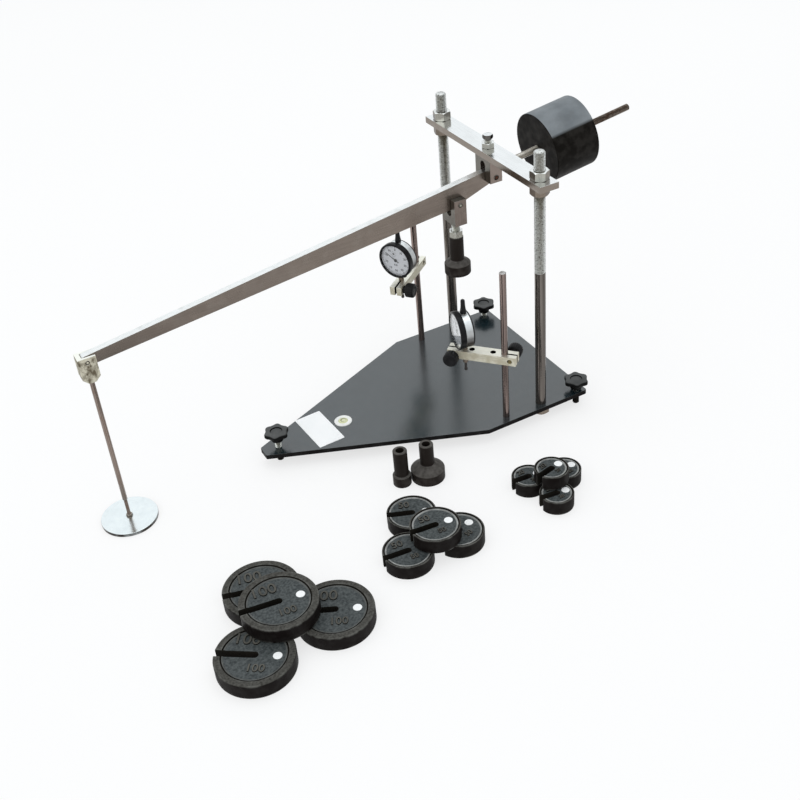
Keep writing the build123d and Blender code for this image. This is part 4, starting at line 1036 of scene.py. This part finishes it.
def build_clamp_screw(side, end):
    """A round fluted knob on a short screw through the arm."""
    node = f"{side}_{end}_screw"
    joint = joints[f"{node}_turn"]
    spin = Vector((0, 0, 1)).rotation_difference(Vector(joint["axis"])).to_matrix().to_4x4()
    at = Matrix.Translation(joint["pos_m"]) @ spin
    low, high = reach_along(node, at, 2)
    radius = reach_along(node, at, 0)[1]
    face = high - CLAMP_KNOB_H
    collar = reach_along(f"{side}_arm", at, 2)[1] + 0.05

    def fluted(angle):
        return radius - CLAMP_FLUTE_DEPTH * (0.5 - 0.5 * math.cos(CLAMP_FLUTES * angle)) ** 2

    profile = moved(CLAMP_COLLAR, collar) + moved(CLAMP_NECK, face) + [(radius - 2.6, face + 0.1)]
    profile += set_in(fluted, moved(CLAMP_RIM_BACK, face) + moved(CLAMP_RIM_FRONT, high))
    profile += moved(CLAMP_FRONT, high, radius) + [(1.0, high - 0.6)]
    turned_piece(f"{node}_knob", profile, CLAMP_STEPS, at, "clamp_black", node, "knob_black", [node],
                 KNOB_CREASE)
    threaded_piece(f"{node}_thread", CLAMP_THREAD_R, CLAMP_THREAD, low + 0.5, collar + 0.3, at, "brass", node,
                   "zinc", end=moved(CLAMP_TIP, low))


def build_gauges():
    for side in ("left", "right"):
        at = gauge_frame(side)
        build_dial_print(side, at)
        build_back_cover(side, at)
        build_plunger(side, at)
        build_clamp_screw(side, "post")
        build_clamp_screw(side, "stem")
        build_arm(side)
        build_case(side, at)
        for node, look, edge in GAUGE_LOOKS:
            dress(f"{side}_{node}", look, edge)


# Weights

def weight_frame(points):
    """A weight's own frame, at the middle of its top with +X along its slot, its radius and its thickness."""
    low, high = (Vector([side(point[i] for point in points) for i in range(3)]) for side in (min, max))
    centre = (low + high) / 2
    bore = Vector((0, 0, 0))
    for point in points:
        offset = point - centre
        offset.z = 0
        if offset.length < (SLOT_W / 2 + 0.2) * MM:
            bore -= offset
    turn = math.atan2(bore.y, bore.x)
    at = Matrix.Translation((centre.x, centre.y, high.z)) @ Matrix.Rotation(turn, 4, "Z")
    return at, (high.y - low.y) / 2 / MM, (high.z - low.z) / MM


def cut_away(bm, cutter):
    """Takes one closed mesh away from another and gives back what is left."""
    objects = []
    for name, part in (("stock", bm), ("cutter", cutter)):
        bmesh.ops.recalc_face_normals(part, faces=part.faces)
        objects.append(placed(name, mesh_of(name, part)))
    modify(objects[0], "BOOLEAN", operation="DIFFERENCE", solver="EXACT", object=objects[1])
    left = bmesh.new()
    take_in(left, objects[0])
    for obj in objects:
        data = obj.data
        bpy.data.objects.remove(obj)
        bpy.data.meshes.remove(data)
    return left


def weight_slot(radius, thick, at):
    """The slot's shape: round at the weight's middle and open at its rim, a little wider at the top edge."""
    bm = bmesh.new()
    past = radius + SLOT_PAST
    bends = [math.pi * i / 24 for i in range(25)]
    loops = []
    for height, spread in ((-thick - 1.0, 0.0), (-SLOT_FLARE_H, 0.0), (0.0, SLOT_FLARE), (3.0, SLOT_FLARE)):
        reach = SLOT_W / 2 + spread
        row = [(-reach * math.sin(bend), -reach * math.cos(bend)) for bend in bends]
        row = [(past, -reach), *row, (past, reach)]
        loops.append([vertex(bm, at, x, y, height) for x, y in row])
    skin(bm, loops)
    return bm


def build_weight(name, points, looks, body):
    """One slotted weight: turned rim, groove and bead, with raised figures and a painted plug; painted shade
    on its slot walls, in its groove and round its figures, and a painted highlight on its bead.
    """
    figures, bead, rim_share, edge = looks
    at, radius, thick = weight_frame(points)
    floor = -WEIGHT_RECESS
    rim = radius * rim_share
    outer, inner = radius - edge, rim + 0.6
    profile = [(WEIGHT_CORE_R, -thick), *moved(WEIGHT_FOOT, -thick, radius), (radius, -edge - 1.2)]
    profile += [(radius - inset, height) for inset, height in rounding(edge, WEIGHT_EDGE_ANGLES)]
    profile += [(0.9 * outer + 0.1 * inner, 0.0), (0.3 * outer + 0.7 * inner, 0.0), (inner, -0.02)]
    profile += moved(WEIGHT_STEP, 0.0, rim) + moved(WEIGHT_GROOVE + WEIGHT_BEAD, floor, rim)
    bm = bmesh.new()
    turned(bm, profile + [(WEIGHT_CORE_R, floor)], WEIGHT_STEPS, at)
    bm = cut_away(bm, weight_slot(radius, thick, at))
    plug = at @ shift(-PLUG_SHARE * radius, 0)
    cutter = bmesh.new()
    turned(cutter, [(PLUG_R, floor - PLUG_DEPTH), (PLUG_R, 1.0)], ROUND_STEPS, plug)
    bm = cut_away(bm, cutter)
    casting = piece(f"{name}_casting", bm, "weight_rim", body, "weight_black", [body])
    slot = SLOT_W / 2 + 1.0

    # painted shade on the slot walls and in the groove, a painted highlight on the bead, the field's own
    # colour in the recess
    def pick(face, spot):
        reach = math.hypot(spot.x, spot.y)
        if abs(face.normal.z) < 0.6 and abs(spot.y) < slot < radius - reach:
            return 2
        if face.normal.z > 0.5 and reach < rim - 3.6:
            return 0
        if spot.z > -0.2 or reach > rim + 0.4 or face.normal.z < -0.1:
            return None
        return 2 if reach > rim - 1.3 else 1

    paint(casting, ("weight_field", bead, "painted_gap_shade"), pick, at)
    bm = bmesh.new()
    outline = bmesh.new()
    for x, y, size, height in FIGURES:
        spot = at @ shift(x * radius, y * radius, floor) @ rotated(180, "Z")
        number(bm, figures, size * radius, height, spot, FIGURE_BOLD)
        # a thin dark plate under each figure, as a painted shadow round it
        number(outline, figures, size * radius, FIGURE_SHADOW_H, spot, 4 * FIGURE_BOLD)
    piece(f"{name}_figure_shadows", outline, "painted_gap_shade", body, "weight_black")
    piece(f"{name}_figures", bm, "weight_figure", body, "weight_black")
    turned_piece(f"{name}_plug", moved(PLUG, floor), PLUG_STEPS, plug, "white_paint", body, "level_white")


def build_weights():
    for size, looks in WEIGHT_LOOKS.items():
        lower = f"{size}_weights_lower"
        upper = f"{size}_weight_upper"
        for i, points in enumerate(islands(lower)):
            build_weight(f"{size}_lower_{i + 1}", points, looks, lower)
        build_weight(f"{size}_upper", islands(upper)[0], looks, upper)


# Floor, light and camera

def build_floor():
    """A pale floor; what looks at it straight or by reflection sees it nearer to white."""
    shader = Shader(Roughness=0.9, Specular_IOR_Level=0.1)
    shader.mat.name = "floor_white"
    cloud = shader.between(shader.noise(0.8, 2.0), *SPREAD)
    shader.set(Base_Color=shader.mix(cloud, (0.93, 0.93, 0.93), (0.95, 0.95, 0.95)))
    path = shader.add("LightPath").outputs
    seen = shader.math("MAXIMUM", path["Is Camera Ray"], path["Is Glossy Ray"])
    seen = shader.math("MAXIMUM", seen, path["Is Transmission Ray"])
    share = shader.math("MULTIPLY", seen, FLOOR_WHITE_SHARE)
    white = shader.add("Emission", {"Color": (1.0, 1.0, 1.0, 1.0), "Strength": 1.0}).outputs[0]
    blend = shader.add("MixShader", {0: share, 1: shader.bsdf.outputs[0], 2: white})
    shader.tree.links.new(blend.outputs[0], shader.tree.nodes["Material Output"].inputs["Surface"])
    bm = bmesh.new()
    bmesh.ops.create_grid(bm, x_segments=1, y_segments=1, size=FLOOR_SIZE)
    floor = placed("floor", mesh_of("floor", bm))
    floor.data.materials.append(shader.mat)
    floor.location.z = cad_box[0].z


def build_world():
    """A pale sky: grey where it is level, and nearly white from two fifths of the way up."""
    world = bpy.data.worlds.new("sky")
    bpy.context.scene.world = world
    world.use_nodes = True
    tree = world.node_tree
    kinds = ("TexCoord", "SeparateXYZ", "ValToRGB")
    coords, split, ramp = (tree.nodes.new("ShaderNode" + kind) for kind in kinds)
    stops = ramp.color_ramp.elements
    stops[0].color = SKY_LOW
    stops[1].color = SKY_HIGH
    stops.new(SKY_MIDDLE_AT).color = SKY_MIDDLE
    tree.links.new(coords.outputs["Generated"], split.inputs[0])
    tree.links.new(split.outputs["Z"], ramp.inputs[0])
    tree.links.new(ramp.outputs[0], tree.nodes["Background"].inputs["Color"])


def build_lamps():
    for name, (place, aim, size, watts, colour) in LAMPS.items():
        light = bpy.data.lights.new(name, "AREA")
        light.shape = "RECTANGLE"
        light.size, light.size_y = size
        light.energy = watts
        light.color = colour
        lamp = placed(name, light)
        lamp.location = place
        lamp.rotation_euler = (Vector(aim) - Vector(place)).to_track_quat("-Z", "Y").to_euler()


def build_camera():
    right = Vector(CAMERA_RIGHT)
    up = Vector(CAMERA_UP)
    data = bpy.data.cameras.new("camera")
    data.lens = CAMERA_LENS
    camera = placed("camera", data)
    turn = Matrix((right, up, right.cross(up))).transposed().to_4x4()
    camera.matrix_world = Matrix.Translation(CAMERA_AT) @ turn
    bpy.context.scene.camera = camera
    bpy.context.scene.view_settings.view_transform = "Standard"


build_frame()
build_base_fittings()
build_gauges()
build_weights()
build_floor()
build_world()
build_lamps()
build_camera()
